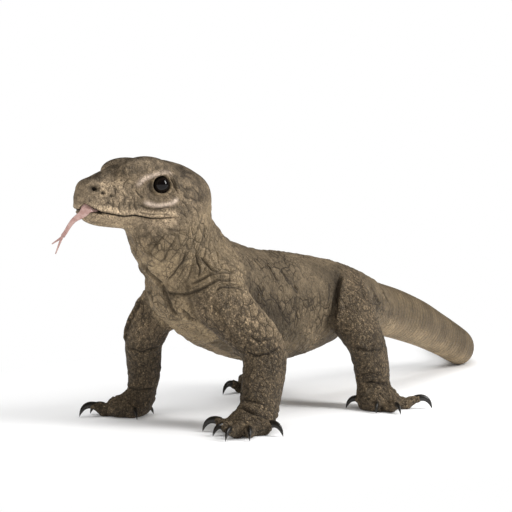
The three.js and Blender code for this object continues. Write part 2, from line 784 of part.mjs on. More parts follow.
function tongueSolid(grow) {
  const last = TONGUE.length - 1;
  const stem = strand(TONGUE.map(({ at }) => at), 12, (t) => {
    const k = Math.min(Math.floor(t * last), last - 1);
    const wide = lerp(TONGUE[k].wide, TONGUE[k + 1].wide, t * last - k);
    return [wide + grow, lerp(TONGUE_THICK.root, TONGUE_THICK.fork, t) + grow];
  });
  const fork = TONGUE.slice(-2).map(({ at }) => at);
  return TONGUE_TIPS.reduce((sum, tip) => sum.add(strand([...fork, tip], 5, (t) => {
    const tapered = lerp(0.35, 1, t); // already slimmer than the stem where it leaves it
    const wide = lerp(TONGUE[last].wide, TONGUE_TIP_WIDE, tapered);
    return [wide + grow, lerp(TONGUE_THICK.fork, TONGUE_THICK.tip, tapered) + grow];
  })), stem);
}

function headParts(headAndNeck) {
  let body = headAndNeck.add(lipSolid(2.6, 2.5)).add(lipSolid(-2.7, 2.3));
  const eyes = {};
  for (const [side, name] of [[1, 'eye_left'], [-1, 'eye_right']]) {
    const at = onHead(EYE.s, side * EYE.w, EYE.z);
    const socket = EYE.radius + SEAM;
    body = body.add(orbitSolid(side)).add(lidSolid(side)).subtract(ball(at, [socket, socket, socket], 2));
    eyes[name] = ball(at, [EYE.radius, EYE.radius, EYE.radius], 2);
    const nostril = onHead(NOSTRIL.s, side * NOSTRIL.w, NOSTRIL.z);
    body = body.subtract(ball(nostril, [NOSTRIL.radius * 1.2, NOSTRIL.radius * 1.7, NOSTRIL.radius], 0));
    const reach = headReach(EAR.s, EAR.z, side);
    body = body.subtract(ball(onHead(EAR.s, side * reach, EAR.z), [3.5, EAR.radius, EAR.radius * 1.25], 0));
  }
  body = body.subtract(tongueSolid(SEAM)).intersect(blockSolid(blocks.head, -SEAM / 2));
  const [upper, lower] = body.subtract(mouthKnife()).decompose().sort((a, b) => b.volume() - a.volume());
  return { head: upper, lower_jaw: lower, ...eyes, tongue: tongueSolid(0) };
}

// ---------------------------------------------------------------- materials and assembly

const SKIN = new THREE.MeshStandardMaterial({ color: 0x6b5f4e, roughness: 0.78, metalness: 0 });
const HEAD_SKIN = new THREE.MeshStandardMaterial({ color: 0x7a705f, roughness: 0.74, metalness: 0 });
const CLAW = new THREE.MeshStandardMaterial({ color: 0x16130f, roughness: 0.35, metalness: 0 });
const EYE_BALL = new THREE.MeshStandardMaterial({ color: 0x0b0908, roughness: 0.08, metalness: 0 });
const TONGUE_SKIN = new THREE.MeshStandardMaterial({ color: 0xd99a94, roughness: 0.45, metalness: 0 });

const animal = new THREE.Group();
animal.name = 'komodo_dragon';
animal.position.set(-CENTRE[0], -CENTRE[1], 0);

function add(name, body, material) {
  const mesh = new THREE.Mesh(geometryOf(body), material.clone());
  mesh.name = name;
  animal.add(mesh);
}

const headMaterials = { eye_left: EYE_BALL, eye_right: EYE_BALL, tongue: TONGUE_SKIN };
const headAndNeck = headAndNeckSolid();
for (const [name, body] of Object.entries(headParts(headAndNeck))) {
  add(name, body, headMaterials[name] ?? HEAD_SKIN);
}

// Each limb: its tube, the block it claims of the trunk, the height of its elbow or knee, and the names
// of its upper part, lower part and foot.
const limbs = [
  [FORE_LEFT, rootBlock(SHOULDER, 1), ELBOW_Z, 'upper_arm_left', 'forearm_left', 'hand_left'],
  [FORE_RIGHT, rootBlock(SHOULDER, -1), ELBOW_Z, 'upper_arm_right', 'forearm_right', 'hand_right'],
  [HIND_LEFT, rootBlock(HIP, 1), KNEE_Z, 'thigh_left', 'shank_left', 'foot_left'],
  [HIND_RIGHT, rootBlock(HIP, -1), KNEE_Z, 'thigh_right', 'shank_right', 'foot_right'],
];

let trunk = trunkSolid();
let neck = headAndNeck;
for (const [stations, root, joint, upper, lower, end] of limbs) {
  const rings = tube(stations, 13, ACROSS);
  const field = limbField(rings, FEET[end]);
  const limb = limbSolid(field, rings, 0);
  const outward = limb.intersect(blockSolid(root, -SEAM / 2));
  add(upper, largest(outward.intersect(between(joint, EVERYWHERE))), SKIN);
  add(lower, largest(limb.intersect(between(ANKLE_Z, joint))), SKIN);
  const { body, claws } = paw(end, field, rings);
  add(end, body, SKIN);
  claws.forEach((claw, i) => add(`claw_${end}_${i + 1}`, claw, CLAW));
  const socket = limbSolid(field, rings, SEAM).intersect(blockSolid(root, SEAM / 2));
  trunk = trunk.subtract(socket);
  neck = neck.subtract(socket);
}

add('neck', partOf('neck', neck), SKIN);
for (const name of ['chest', 'belly', 'pelvis']) {
  add(name, partOf(name, trunk), SKIN);
}

const tail = tailSolid();
for (const name of tailNames) {
  add(name, partOf(name, tail), SKIN);
}

export default animal;
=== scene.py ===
"""A young komodo dragon, life size: one seamless skin with folds and scales, wet eyes, horn claws, forked tongue.

The flesh repeats the construction of the solids: tubes through trunk, neck, head and limbs that blend into
one implicit body. It is meshed finely here, then folded, pitted and scaled. Lengths are millimetres in the
animal's own axes (left is +X, the trunk faces -Y, the floor is z = 0) until a mesh is placed in the shared frame.
"""

import logging
import math
from collections.abc import Callable
from dataclasses import dataclass, field
from enum import Enum

import bmesh
import bpy
import numpy as np
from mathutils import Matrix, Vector
from mathutils.bvhtree import BVHTree


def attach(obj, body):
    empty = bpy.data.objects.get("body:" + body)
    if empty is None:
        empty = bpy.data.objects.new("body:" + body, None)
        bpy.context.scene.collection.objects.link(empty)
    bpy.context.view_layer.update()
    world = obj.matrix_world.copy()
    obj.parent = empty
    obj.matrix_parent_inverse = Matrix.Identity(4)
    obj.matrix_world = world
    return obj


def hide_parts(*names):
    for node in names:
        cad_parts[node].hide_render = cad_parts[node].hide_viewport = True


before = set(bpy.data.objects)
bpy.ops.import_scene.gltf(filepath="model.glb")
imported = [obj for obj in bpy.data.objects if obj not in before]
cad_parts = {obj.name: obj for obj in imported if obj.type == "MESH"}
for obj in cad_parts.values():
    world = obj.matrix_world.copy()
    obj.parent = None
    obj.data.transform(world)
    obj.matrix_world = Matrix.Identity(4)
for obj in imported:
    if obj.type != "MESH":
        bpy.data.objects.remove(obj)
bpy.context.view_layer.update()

LOG = logging.getLogger("komodo")

# ------------------------------------------------------------------ driving dimensions, millimetres

CENTRE = (-44.05, 260.815, 0.0)  # middle of the animal's box, in its own axes
HEAD_TIP = (-28.7, -265.0)
HEAD_YAW = math.radians(17.0)
EYE_S, EYE_W, EYE_Z, EYE_RADIUS = 88.0, 30.5, 278.0, 9.2
FAR = 60.0  # a distance that no blend reaches
TUBE_REACH = 34.0  # how far outside a tube it is still measured
NET_LOW, NET_HIGH = (-290.0, -320.0, -34.0), (200.0, 860.0, 350.0)  # corners of the space that is meshed
TAIL_START = 230.0  # y past which there is only tail

AXIS = [
    (0, -124, 157, 44, 44), (0, -98, 154, 51, 55), (0, -66, 147, 55, 66), (0, -19, 134, 59, 69),
    (0, 30, 129, 61, 70), (0, 94, 129, 60, 62.5), (0, 145, 131, 54, 51), (0, 190, 125.5, 46, 44.5),
    (-2, 240, 114, 37, 37.5), (-8, 300, 103.5, 32, 35), (-15, 350, 92, 30, 34), (-24, 400, 79.5, 28, 32.8),
    (-35, 450, 65.5, 26.5, 31), (-45, 505, 48.5, 25, 29.5), (-57, 562, 30, 24, 28.5), (-90, 618, 22.5, 22, 23.5),
    (-137, 668, 18, 18.5, 18.8), (-184, 715, 14.2, 14.6, 14.8), (-218, 762, 10, 10.2, 10.4),
    (-240, 815, 5.6, 5.8, 6),
]
NECK = [
    (0, -78, 150, 46, 54), (1, -103, 180, 46.5, 47), (2, -123, 198, 48.5, 48.5), (3, -145, 215, 50, 50),
    (4, -155, 232, 49, 49.5), (3, -154, 250, 42, 43),
]
# Head: distance back from the snout, half width, top and underside.
HEAD_SHAPE = [
    (8.5, 11.5, 275, 240.5), (15, 17, 284, 235), (27, 21, 290, 231.5), (42, 25.5, 296.5, 230),
    (60, 29.5, 302.5, 228.5),
    (78, 33.5, 306.5, 226), (96, 37, 307.5, 225), (114, 39, 304, 225), (131, 36.5, 296, 228),
]
FORE_LEFT = [
    (44, -120, 160, 34), (60, -116, 136, 31), (78, -96, 108, 28), (88, -86, 88, 26), (93, -92, 64, 25),
    (97, -102, 42, 24), (99, -107, 26, 23),
]
FORE_RIGHT = [
    (-37, -102, 156, 28), (-53, -109, 136, 27.5), (-71, -115, 108, 26), (-79, -114, 88, 23.3),
    (-82, -110, 64, 21.5), (-85, -108, 42, 19), (-86, -110, 26, 18),
]
HIND_LEFT = [
    (40, 122, 138, 36), (62, 112, 124, 32), (82, 102, 104, 28), (93, 105, 84, 24.5), (96, 112, 60, 22.8),
    (97, 114, 42, 22.2), (98, 114, 26, 21.5),
]
HIND_RIGHT = [
    (-40, 122, 138, 36), (-64, 120, 122, 32), (-86, 118, 102, 28), (-97, 122, 82, 25), (-104, 135, 60, 23),
    (-110, 144, 42, 22), (-114, 147, 26, 21.5),
]
# Brow, jowl and nose: place on the head, radii, and how far each flows into it.
HEAD_LUMPS = (
    (70, 24.5, 294.6, (10.5, 28, 14.2), 18), (112, 27, 258, (14, 24, 28), 14), (15, 9.5, 276, (7.5, 10, 7.5), 7),
)
# Shoulders and hips: middle and radii.
GIRDLES = (
    ((38, -110, 160), (29, 38, 43)), ((-34, -104, 160), (26, 34, 42)),
    ((34, 130, 134), (30, 44, 36)), ((-34, 130, 134), (30, 44, 36)),
)
LIMB_BLEND, PALM_BLEND, TOE_BLEND = 11.0, 12.0, 3.5  # how far the flesh of these flows into what carries it
HEAD_BLEND, NECK_BLEND, GIRDLE_BLEND = 12.0, 22.0, 20.0
PAW_HEIGHT, PAW_REACH = 60.0, 90.0  # room over the floor that no palm or toe leaves
CLAW_AHEAD = 0.86  # share of a claw's length that lies ahead of its toe
KNUCKLE_TURNS, LAST_KNUCKLE = 1.6, 0.64  # swellings along a toe, and the share of it where it bends down
TOE_END_LOW, TOE_END_RISE = 5.2, 0.4  # height of a toe's last joint: for no claw, and more for a longer one
TOE_SINK, TOE_SWELL, TOE_TAPER, KNUCKLE_SWELL = 0.9, 1.14, 0.84, 0.1
CLAW_ARCH, CLAW_ROOT, LONG_CLAW, CLAW_CLEARANCE = 0.3, 4.9, 18.0, 0.6


class Side(Enum):
    """A side of the animal; its value is the sign of X there."""

    LEFT = 1
    RIGHT = -1


# ------------------------------------------------------------------ small maths


def unit(vector: np.ndarray) -> np.ndarray:
    """Vectors along the last axis, scaled to length 1."""
    return vector / np.maximum(np.linalg.norm(vector, axis=-1, keepdims=True), 1e-9)


def smoothstep(low: float, high: float, value: np.ndarray) -> np.ndarray:
    """0 below `low`, 1 above `high`, with an even bend between."""
    t = np.clip((value - low) / (high - low), 0.0, 1.0)
    return t * t * (3 - 2 * t)


def bell(distance: np.ndarray, width: float) -> np.ndarray:
    """1 at no distance, falling to nothing over about two widths."""
    return np.exp(-((distance / width) ** 2))


def smooth_min(a: np.ndarray, b: np.ndarray, blend: float) -> np.ndarray:
    """The lesser of two distances, rounded where they are within `blend` of each other."""
    h = np.maximum(blend - np.abs(a - b), 0.0) / blend
    return np.minimum(a, b) - h * h * blend / 4


def on_head(s: float, w: float, z: float) -> tuple[float, float, float]:
    """A point of the head: `s` back from the snout, `w` to the animal's left, at height `z`.

    Args:
        s: distance back from the snout.
        w: distance to the animal's left.
        z: height.

    Returns:
        The point in the animal's axes.
    """
    back = (math.sin(HEAD_YAW), math.cos(HEAD_YAW))
    left = (math.cos(HEAD_YAW), -math.sin(HEAD_YAW))
    return (HEAD_TIP[0] + s * back[0] + w * left[0], HEAD_TIP[1] + s * back[1] + w * left[1], z)


def head_axes(points: np.ndarray) -> tuple[np.ndarray, np.ndarray, np.ndarray]:
    """The head's own (s, w, z) of points.

    Args:
        points: N points in the animal's axes.

    Returns:
        N distances back from the snout, N to the animal's left, and N heights.
    """
    dx = points[:, 0] - HEAD_TIP[0]
    dy = points[:, 1] - HEAD_TIP[1]
    s = dx * math.sin(HEAD_YAW) + dy * math.cos(HEAD_YAW)
    w = dx * math.cos(HEAD_YAW) - dy * math.sin(HEAD_YAW)
    return s, w, points[:, 2]


def to_shared(points: np.ndarray) -> np.ndarray:
    """Points in the shared frame, in metres."""
    return (np.asarray(points, float) - np.array(CENTRE)) / 1000.0


def linked_object(name: str, data: bpy.types.ID) -> bpy.types.Object:
    """A new object of the scene.

    Args:
        name: its name.
        data: its mesh, light or camera.

    Returns:
        The object, linked to the scene.
    """
    thing = bpy.data.objects.new(name, data)
    bpy.context.scene.collection.objects.link(thing)
    return thing


def spline(points: np.ndarray, t: np.ndarray) -> np.ndarray:
    """Centripetal Catmull-Rom curve through points, at shares `t` of its stretches.

    Args:
        points: corners that the curve runs through.
        t: shares, from 0 at the first corner to 1 at the last.

    Returns:
        One point of the curve for each share.
    """
    last = len(points) - 1
    place = np.clip(t, 0, 1) * last
    k = np.minimum(place.astype(int), last - 1)
    w = (place - k)[:, None]
    padded = np.vstack([2 * points[0] - points[1], points, 2 * points[-1] - points[-2]])
    p0, p1, p2, p3 = (padded[k + j] for j in range(4))
    gaps = [np.sqrt(np.linalg.norm(b - a, axis=1, keepdims=True)) for a, b in ((p0, p1), (p1, p2), (p2, p3))]
    d1 = np.where(gaps[1] < 1e-4, 1.0, gaps[1])
    d0 = np.where(gaps[0] < 1e-4, d1, gaps[0])
    d2 = np.where(gaps[2] < 1e-4, d1, gaps[2])
    t1 = ((p1 - p0) / d0 - (p2 - p0) / (d0 + d1) + (p2 - p1) / d1) * d1
    t2 = ((p2 - p1) / d1 - (p3 - p1) / (d1 + d2) + (p3 - p2) / d2) * d1
    return p1 + t1 * w + (3 * (p2 - p1) - 2 * t1 - t2) * w**2 + (2 * (p1 - p2) + t1 + t2) * w**3


def polyline_distance(points: np.ndarray, line: np.ndarray, normals: np.ndarray | None = None) -> tuple:
    """Distance of points to a polyline, how far along it each comes nearest, and on which side of it.

    Args:
        points: N points.
        line: corners of the polyline, in order.
        normals: N directions from which the line is seen, for the side.

    Returns:
        N distances, N shares of the line's length from 0 to 1, and N signs: 1 to the line's left.
    """
    best = np.full(len(points), np.inf)
    share = np.zeros(len(points))
    side = np.ones(len(points))
    lengths = np.linalg.norm(np.diff(line, axis=0), axis=1)
    total, done = lengths.sum(), 0.0
    for a, b, length in zip(line[:-1], line[1:], lengths):
        t = np.clip((points - a) @ (b - a) / max(length**2, 1e-9), 0, 1)
        away = points - a - t[:, None] * (b - a)
        d = np.linalg.norm(away, axis=1)
        nearer = d < best
        best = np.where(nearer, d, best)
        share = np.where(nearer, (done + t * length) / total, share)
        if normals is not None:
            turned = np.where((np.cross(normals, b - a) * away).sum(1) < 0, -1.0, 1.0)
            side = np.where(nearer, turned, side)
        done += length
    return best, share, side


def cell_edges(points: np.ndarray, seed: int) -> np.ndarray:
    """How near points lie to an edge between random cells of size 1: 0 on an edge, about 0.5 in a cell's middle.

    Args:
        points: N points, in cell sizes.
        seed: picks one net of cells.

    Returns:
        N values.
    """
    base = np.floor(points).astype(np.int64)
    first = np.full(len(points), 9.0)
    second = np.full(len(points), 9.0)
    for offset in np.ndindex(3, 3, 3):
        cell = base + np.array(offset) - 1
        mixed = (cell[:, 0] * 73856093) ^ (cell[:, 1] * 19349663) ^ (cell[:, 2] * 83492791) ^ (seed * 2654435761)
        jitter = np.stack([((mixed >> shift) & 1023) / 1023.0 for shift in (3, 11, 19)], 1)
        d = np.linalg.norm(cell + jitter - points, axis=1)
        second = np.minimum(second, np.maximum(first, d))
        first = np.minimum(first, d)
    return second - first


# ------------------------------------------------------------------ the implicit body


class Tube:
    """A tube of elliptical section through stations of x, y, z, half width and half height."""

    def __init__(self, stations: list, samples: int, side: tuple | None = None) -> None:
        """Lays rings along the stations; the width lies along `side`, or level where there is none.

        Args:
            stations: rows of x, y, z, half width and half height; without the last it is round.
            samples: how many stretches the tube has.
            side: direction of its width.
        """
        table = np.array([(*q[:4], q[4] if len(q) > 4 else q[3]) for q in stations], float)
        t = np.linspace(0, 1, samples + 1)
        step = 1e-4
        self.at = spline(table[:, :3], t)
        ahead = spline(table[:, :3], np.minimum(t + step, 1)) - spline(table[:, :3], np.maximum(t - step, 0))
        self.tangent = unit(ahead)
        sizes = np.column_stack([table[:, 3:5], np.zeros(len(table))])
        self.size = spline(sizes, t)[:, :2]
        level = np.cross((0.0, 0.0, 1.0), self.tangent)
        wide = level if side is None else np.tile(np.array(side, float), (len(t), 1))
        self.wide = unit(wide - self.tangent * (wide * self.tangent).sum(1, keepdims=True))
        self.length = np.concatenate([[0], np.cumsum(np.linalg.norm(np.diff(self.at, axis=0), axis=1))])

    def measure(self, points: np.ndarray) -> tuple[np.ndarray, np.ndarray]:
        """Signed distance to the tube, near enough, and the length along it where each point comes nearest.

        Args:
            points: N points in the animal's axes.

        Returns:
            N distances and N lengths.
        """
        best = np.full(len(points), FAR)
        along = np.zeros(len(points))
        for i in range(len(self.at) - 1):
            start, end = self.at[i], self.at[i + 1]
            room = self.size[i : i + 2].max() + TUBE_REACH
            near = np.flatnonzero(
                (points[:, 1] > min(start[1], end[1]) - room) & (points[:, 1] < max(start[1], end[1]) + room)
            )
            part = points[near]
            inside = ((part > np.minimum(start, end) - room) & (part < np.maximum(start, end) + room)).all(1)
            near, part = near[inside], part[inside]
            if not len(near):
                continue
            axis = end - start
            length = np.linalg.norm(axis)
            axis = axis / length
            q = part - start
            t = np.clip(q @ axis / length, 0, 1)
            q = q - np.outer(t * length, axis)
            wide = unit(self.wide[i] + t[:, None] * (self.wide[i + 1] - self.wide[i]))
            tall = unit(np.cross(axis, wide))
            a, b = (self.size[i] + t[:, None] * (self.size[i + 1] - self.size[i])).T
            x, y, z = (q * wide).sum(1), (q * tall).sum(1), q @ axis
            scaled = np.sqrt((x / a) ** 2 + (y / b) ** 2 + (z / np.minimum(a, b)) ** 2)
            away = (scaled - 1) * np.linalg.norm(q, axis=1) / np.maximum(scaled, 1e-6)
            d = np.where(scaled < 1e-6, -np.minimum(a, b), away)
            nearer = d < best[near]
            best[near] = np.where(nearer, d, best[near])
            along[near] = np.where(nearer, self.length[i] + t * length, along[near])
        return best, along

    def distance(self, points: np.ndarray) -> np.ndarray:
        """Signed distance of points to the tube, near enough."""
        return self.measure(points)[0]


@dataclass(frozen=True)
class Lump:
    """A swelling: an ellipsoid, turned with the head if `yaw` is given, blended over `blend`."""

    at: tuple
    radii: tuple
    blend: float
    yaw: float = 0.0

    def distance(self, points: np.ndarray) -> np.ndarray:
        """Signed distance of points to the swelling, near enough.

        Args:
            points: N points in the animal's axes.

        Returns:
            N distances, negative inside.
        """
        d = points - np.array(self.at)
        c, s = math.cos(self.yaw), math.sin(self.yaw)
        q = np.stack([c * d[:, 0] + s * d[:, 1], -s * d[:, 0] + c * d[:, 1], d[:, 2]], 1)
        scaled = np.linalg.norm(q / np.array(self.radii), axis=1)
        return (scaled - 1) * np.linalg.norm(q, axis=1) / np.maximum(scaled, 1e-6)


@dataclass(frozen=True)
class Paw:
    """A hand or foot: middle and size of its palm, and its claw points over the floor, first toe to fifth."""

    name: str
    palm: tuple
    size: tuple
    tips: tuple
    toe: tuple
    claw: tuple

    def toe_end(self, i: int) -> tuple[np.ndarray, np.ndarray]:
        """Heading of toe `i` over the floor, and the middle of its end.

        Args:
            i: the toe's number, from 0.

        Returns:
            A direction of length 1, and a point.
        """
        out = np.array([self.tips[i][0] - self.palm[0], self.tips[i][1] - self.palm[1], 0.0])
        out = out / np.linalg.norm(out)
        height = TOE_END_LOW + TOE_END_RISE * self.claw[i]
        return out, np.array([*self.tips[i], height]) - out * self.claw[i] * CLAW_AHEAD

    def toe_tube(self, i: int) -> Tube:
        """The flesh of toe `i`, from inside the palm to the root of the claw.

        Args:
            i: the toe's number, from 0.

        Returns:
            The toe's tube.
        """
        out, end = self.toe_end(i)
        thick = self.toe[i]
        root = np.array(self.palm) + out * 6
        stations = []
        for t in np.linspace(0, 1, 7):
            joint = 1 + KNUCKLE_SWELL * math.cos(2 * math.pi * (t * KNUCKLE_TURNS - 1))
            radius = (thick * TOE_SWELL * (1 - t) + thick * TOE_TAPER * t) * joint
            at = root + (end - out * radius * 0.5 - root) * t
            rise = thick - TOE_SINK
            at[2] = root[2] + (rise - root[2]) * min(t / LAST_KNUCKLE, 1)
            at[2] += (end[2] - rise) * max((t - LAST_KNUCKLE) / (1 - LAST_KNUCKLE), 0)
            stations.append((*at, radius))
        return Tube(stations, 10)


PAWS = (
    Paw("hand_left", (97, -124, 11), (28, 27, 17),
        ((52, -151), (84, -169), (115, -183), (134, -165), (143, -119)),
        (8, 8.4, 8.6, 8.4, 8), (18, 13, 14, 14, 17)),
    Paw("hand_right", (-96, -124, 11), (27, 28, 15.5),
        ((-77, -99), (-61, -143), (-131, -171), (-138, -147), (-139, -116)),
        (7.4, 8.2, 8.2, 7.8, 7.4), (12, 12, 18, 14, 15)),
    Paw("foot_left", (107, 115, 11), (28, 29, 18),
        ((74, 90), (128, 79), (155, 92), (157, 158), (90, 158)),
        (7.4, 8.4, 8.8, 8, 7), (16, 12, 12, 18, 14)),
    Paw("foot_right", (-119, 146, 11), (28, 29, 16.5),
        ((-72, 128), (-80, 104), (-98, 88), (-122, 78), (-165, 168)),
        (7.2, 7.6, 8, 8.2, 7), (13, 14, 15, 18, 14)),
)


class Flesh:
    """The whole animal as one signed distance."""

    def __init__(self) -> None:
        """Builds the tubes and swellings from the driving dimensions."""
        across = (1.0, 0.0, 0.0)
        head = [(*on_head(s, 0, (top + under) / 2), wide, (top - under) / 2) for s, wide, top, under in HEAD_SHAPE]
        self.axis = Tube(AXIS, 76)
        self.neck = Tube(NECK, 15, across)
        self.head = Tube(head, 24)
        yaw = -HEAD_YAW
        self.head_lumps = [
            Lump(on_head(s, side * w, z), radii, blend, yaw)
            for s, w, z, radii, blend in HEAD_LUMPS
            for side in (1, -1)
        ]
        self.girdles = [Lump(at, radii, GIRDLE_BLEND) for at, radii in GIRDLES]
        limbs = (FORE_LEFT, FORE_RIGHT, HIND_LEFT, HIND_RIGHT)
        self.limbs = [(Tube(stations, 13, across), paw) for stations, paw in zip(limbs, PAWS)]

    def head_distance(self, points: np.ndarray) -> np.ndarray:
        """Signed distance to the head alone.

        Args:
            points: N points in the animal's axes.

        Returns:
            N distances, negative inside.
        """
        d = self.head.distance(points)
        for lump in self.head_lumps:
            d = smooth_min(d, lump.distance(points), lump.blend)
        return d

    def trunk_distance(self, points: np.ndarray) -> np.ndarray:
        """Signed distance to trunk, neck, head and tail, without the limbs.

        Args:
            points: N points in the animal's axes.

        Returns:
            N distances, negative inside.
        """
        front = smooth_min(self.neck.distance(points), self.head_distance(points), HEAD_BLEND)
        d = smooth_min(self.axis.distance(points), front, NECK_BLEND)
        for lump in self.girdles:
            d = smooth_min(d, lump.distance(points), lump.blend)
        return d

    def limb_distance(self, points: np.ndarray) -> np.ndarray:
        """Signed distance to the nearest limb, without its foot."""
        return np.minimum.reduce([tube.distance(points) for tube, _ in self.limbs])

    def distance(self, points: np.ndarray) -> np.ndarray:
        """Signed distance to the whole animal.

        Args:
            points: N points in the animal's axes.

        Returns:
            N distances, negative inside.
        """
        d = self.trunk_distance(points)
        for tube, paw in self.limbs:
            d = smooth_min(d, tube.distance(points), LIMB_BLEND)
            off = points[:, :2] - np.array(paw.palm[:2])
            low = np.flatnonzero((points[:, 2] < PAW_HEIGHT) & (np.hypot(*off.T) < PAW_REACH))
            if len(low):
                part = points[low]
                palm = Lump(paw.palm, paw.size, PALM_BLEND).distance(part)
                toes = np.minimum.reduce([paw.toe_tube(i).distance(part) for i in range(len(paw.tips))])
                d[low] = smooth_min(smooth_min(d[low], palm, PALM_BLEND), toes, TOE_BLEND)
        return d

    def slope(self, points: np.ndarray) -> tuple[np.ndarray, np.ndarray]:
        """Distance at points, and its gradient.

        Args:
            points: N points in the animal's axes.

        Returns:
            N distances and N gradients.
        """
        h = 0.6
        corners = np.array([(1, 1, 1), (1, -1, -1), (-1, 1, -1), (-1, -1, 1)], float)
        samples = [self.distance(points + h * c) for c in corners]
        gradient = sum(np.outer(v, c) for v, c in zip(samples, corners)) / (4 * h)
        return sum(samples) / 4, gradient


# ------------------------------------------------------------------ meshing the skin


class SkinMesh:
    """Vertices and faces drawn over the flesh, fine on the head and feet and coarser elsewhere."""

    def __init__(self, flesh: Flesh, cell: float) -> None:
        """Covers the flesh with square cells of the given size.

        Args:
            flesh: what the skin covers.
            cell: edge of a cell.
        """
        self.flesh = flesh
        self.cell = cell
        self.points, self.faces = self._net()
        self._settle(3)

    def _net(self) -> tuple[np.ndarray, list]:
        """Surface net of the flesh: one vertex in each cell that the skin crosses, one face across each edge.

        Returns:
            The vertices, and the vertex numbers of each face.
        """
        low, high = np.array(NET_LOW), np.array(NET_HIGH)
        ys, xs, zs = (np.arange(low[m], high[m], self.cell) for m in (1, 0, 2))
        shape = (len(ys), len(xs), len(zs))
        stride = 4  # fine cells in a coarse one; only those near the skin are measured finely
        coarse = np.stack(np.meshgrid(ys[::stride], xs[::stride], zs[::stride], indexing="ij"), -1).reshape(-1, 3)
        rough = self.flesh.distance(coarse[:, [1, 0, 2]]).reshape([-(-n // stride) for n in shape])
        for m in range(3):
            rough = np.repeat(rough, stride, axis=m)
        rough = np.roll(rough, (-(stride // 2),) * 3, axis=(0, 1, 2))[: shape[0], : shape[1], : shape[2]]
        values = rough.copy()
        band = np.flatnonzero(np.abs(rough.ravel()) < self.cell * stride * 1.3)
        i, j, k = np.unravel_index(band, shape)
        fine = np.stack([xs[j], ys[i], zs[k]], 1)
        values.ravel()[band] = self.flesh.distance(fine)
        inside = values < 0
        m, n, o = (count - 1 for count in shape)
        cells = [values[a : m + a, b : n + b, c : o + c] for a, b, c in np.ndindex(2, 2, 2)]
        signs = sum((v < 0).astype(np.int8) for v in cells)
        active = (signs > 0) & (signs < 8)
        number = np.full(active.shape, -1, np.int64)
        number[active] = np.arange(active.sum())
        corner = [v[active] for v in cells]
        total = np.zeros((len(corner[0]), 3))
        count = np.zeros(len(corner[0]))
        for first in range(8):
            for m in range(3):
                bit = 4 >> m
                if first & bit:
                    continue
                a, b = corner[first], corner[first | bit]
                cross = (a < 0) != (b < 0)
                t = np.where(cross, a / np.where(cross, a - b, 1), 0)
                place = np.tile(np.array([(first >> 2) & 1, (first >> 1) & 1, first & 1], float), (len(a), 1))
                place[:, m] += t
                total += place * cross[:, None]
                count += cross
        offset = total / count[:, None]
        ijk = np.argwhere(active) + offset
        start = (xs[0], ys[0], zs[0])
        points = np.stack([start[m] + ijk[:, n] * self.cell for m, n in enumerate((1, 0, 2))], 1)
        faces = []
        for m in range(3):
            n1, n2 = [n for n in range(3) if n != m]
            here = [slice(1, -1)] * 3
            here[m] = slice(0, -1)
            there = list(here)
            there[m] = slice(1, None)
            a, b = inside[tuple(here)], inside[tuple(there)]
            crossing = np.argwhere(a != b)
            base = crossing + np.array([0 if n == m else 1 for n in range(3)])
            ring = []
            for d1, d2 in ((0, 0), (1, 0), (1, 1), (0, 1)):
                cell = base.copy()
                cell[:, n1] -= d1
                cell[:, n2] -= d2
                ring.append(number[tuple(cell.T)])
            quad = np.stack(ring, 1)
            flip = a[tuple(crossing.T)] ^ (m == 1) ^ True
            quad[flip] = quad[flip][:, ::-1]
            faces.append(quad)
        quads = np.vstack(faces)
        return points, quads[(quads >= 0).all(1)].tolist()

    def _settle(self, rounds: int) -> None:
        """Draws the vertices onto the skin, evening out their spacing between rounds.

        Args:
            rounds: how often the vertices are drawn.
        """
        for turn in range(rounds):
            value, gradient = self.flesh.slope(self.points)
            step = value / np.maximum((gradient**2).sum(1), 0.25)
            self.points = self.points - gradient * np.clip(step, -3, 3)[:, None]
            if turn < rounds - 1:
                self._even(0.5)
        self.points[:, 2] = np.maximum(self.points[:, 2], 0.0)

    def _even(self, share: float) -> None:
        """Moves each vertex a share of the way to the middle of its neighbours.

        Args:
            share: of the way, from 0 to 1.
        """
        edges = np.array([(f[i], f[(i + 1) % len(f)]) for f in self.faces for i in range(len(f))])
        total = np.zeros_like(self.points)
        np.add.at(total, edges[:, 0], self.points[edges[:, 1]])
        count = np.bincount(edges[:, 0], minlength=len(self.points))[:, None]
        middle = total / np.maximum(count, 1)
        self.points = np.where(count > 0, self.points + share * (middle - self.points), self.points)

    def refine(self, chosen: Callable[[np.ndarray], np.ndarray]) -> None:
        """Splits the faces whose middle is chosen in four, and draws the new vertices onto the skin.

        Args:
            chosen: says for each of N middles whether its face is split.
        """
        work = bmesh.new()
        verts = [work.verts.new(p) for p in self.points]
        for f in self.faces:
            work.faces.new([verts[i] for i in f])
        work.faces.ensure_lookup_table()
        middles = np.array([f.calc_center_median() for f in work.faces])
        marked = chosen(middles)
        edges = {e for f, keep in zip(work.faces, marked) if keep for e in f.edges}
        bmesh.ops.subdivide_edges(work, edges=list(edges), cuts=1, use_grid_fill=True)
        work.verts.index_update()
        self.points = np.array([v.co for v in work.verts])
        self.faces = [[v.index for v in f.verts] for f in work.faces]
        work.free()
        self._settle(2)


# ------------------------------------------------------------------ the camera


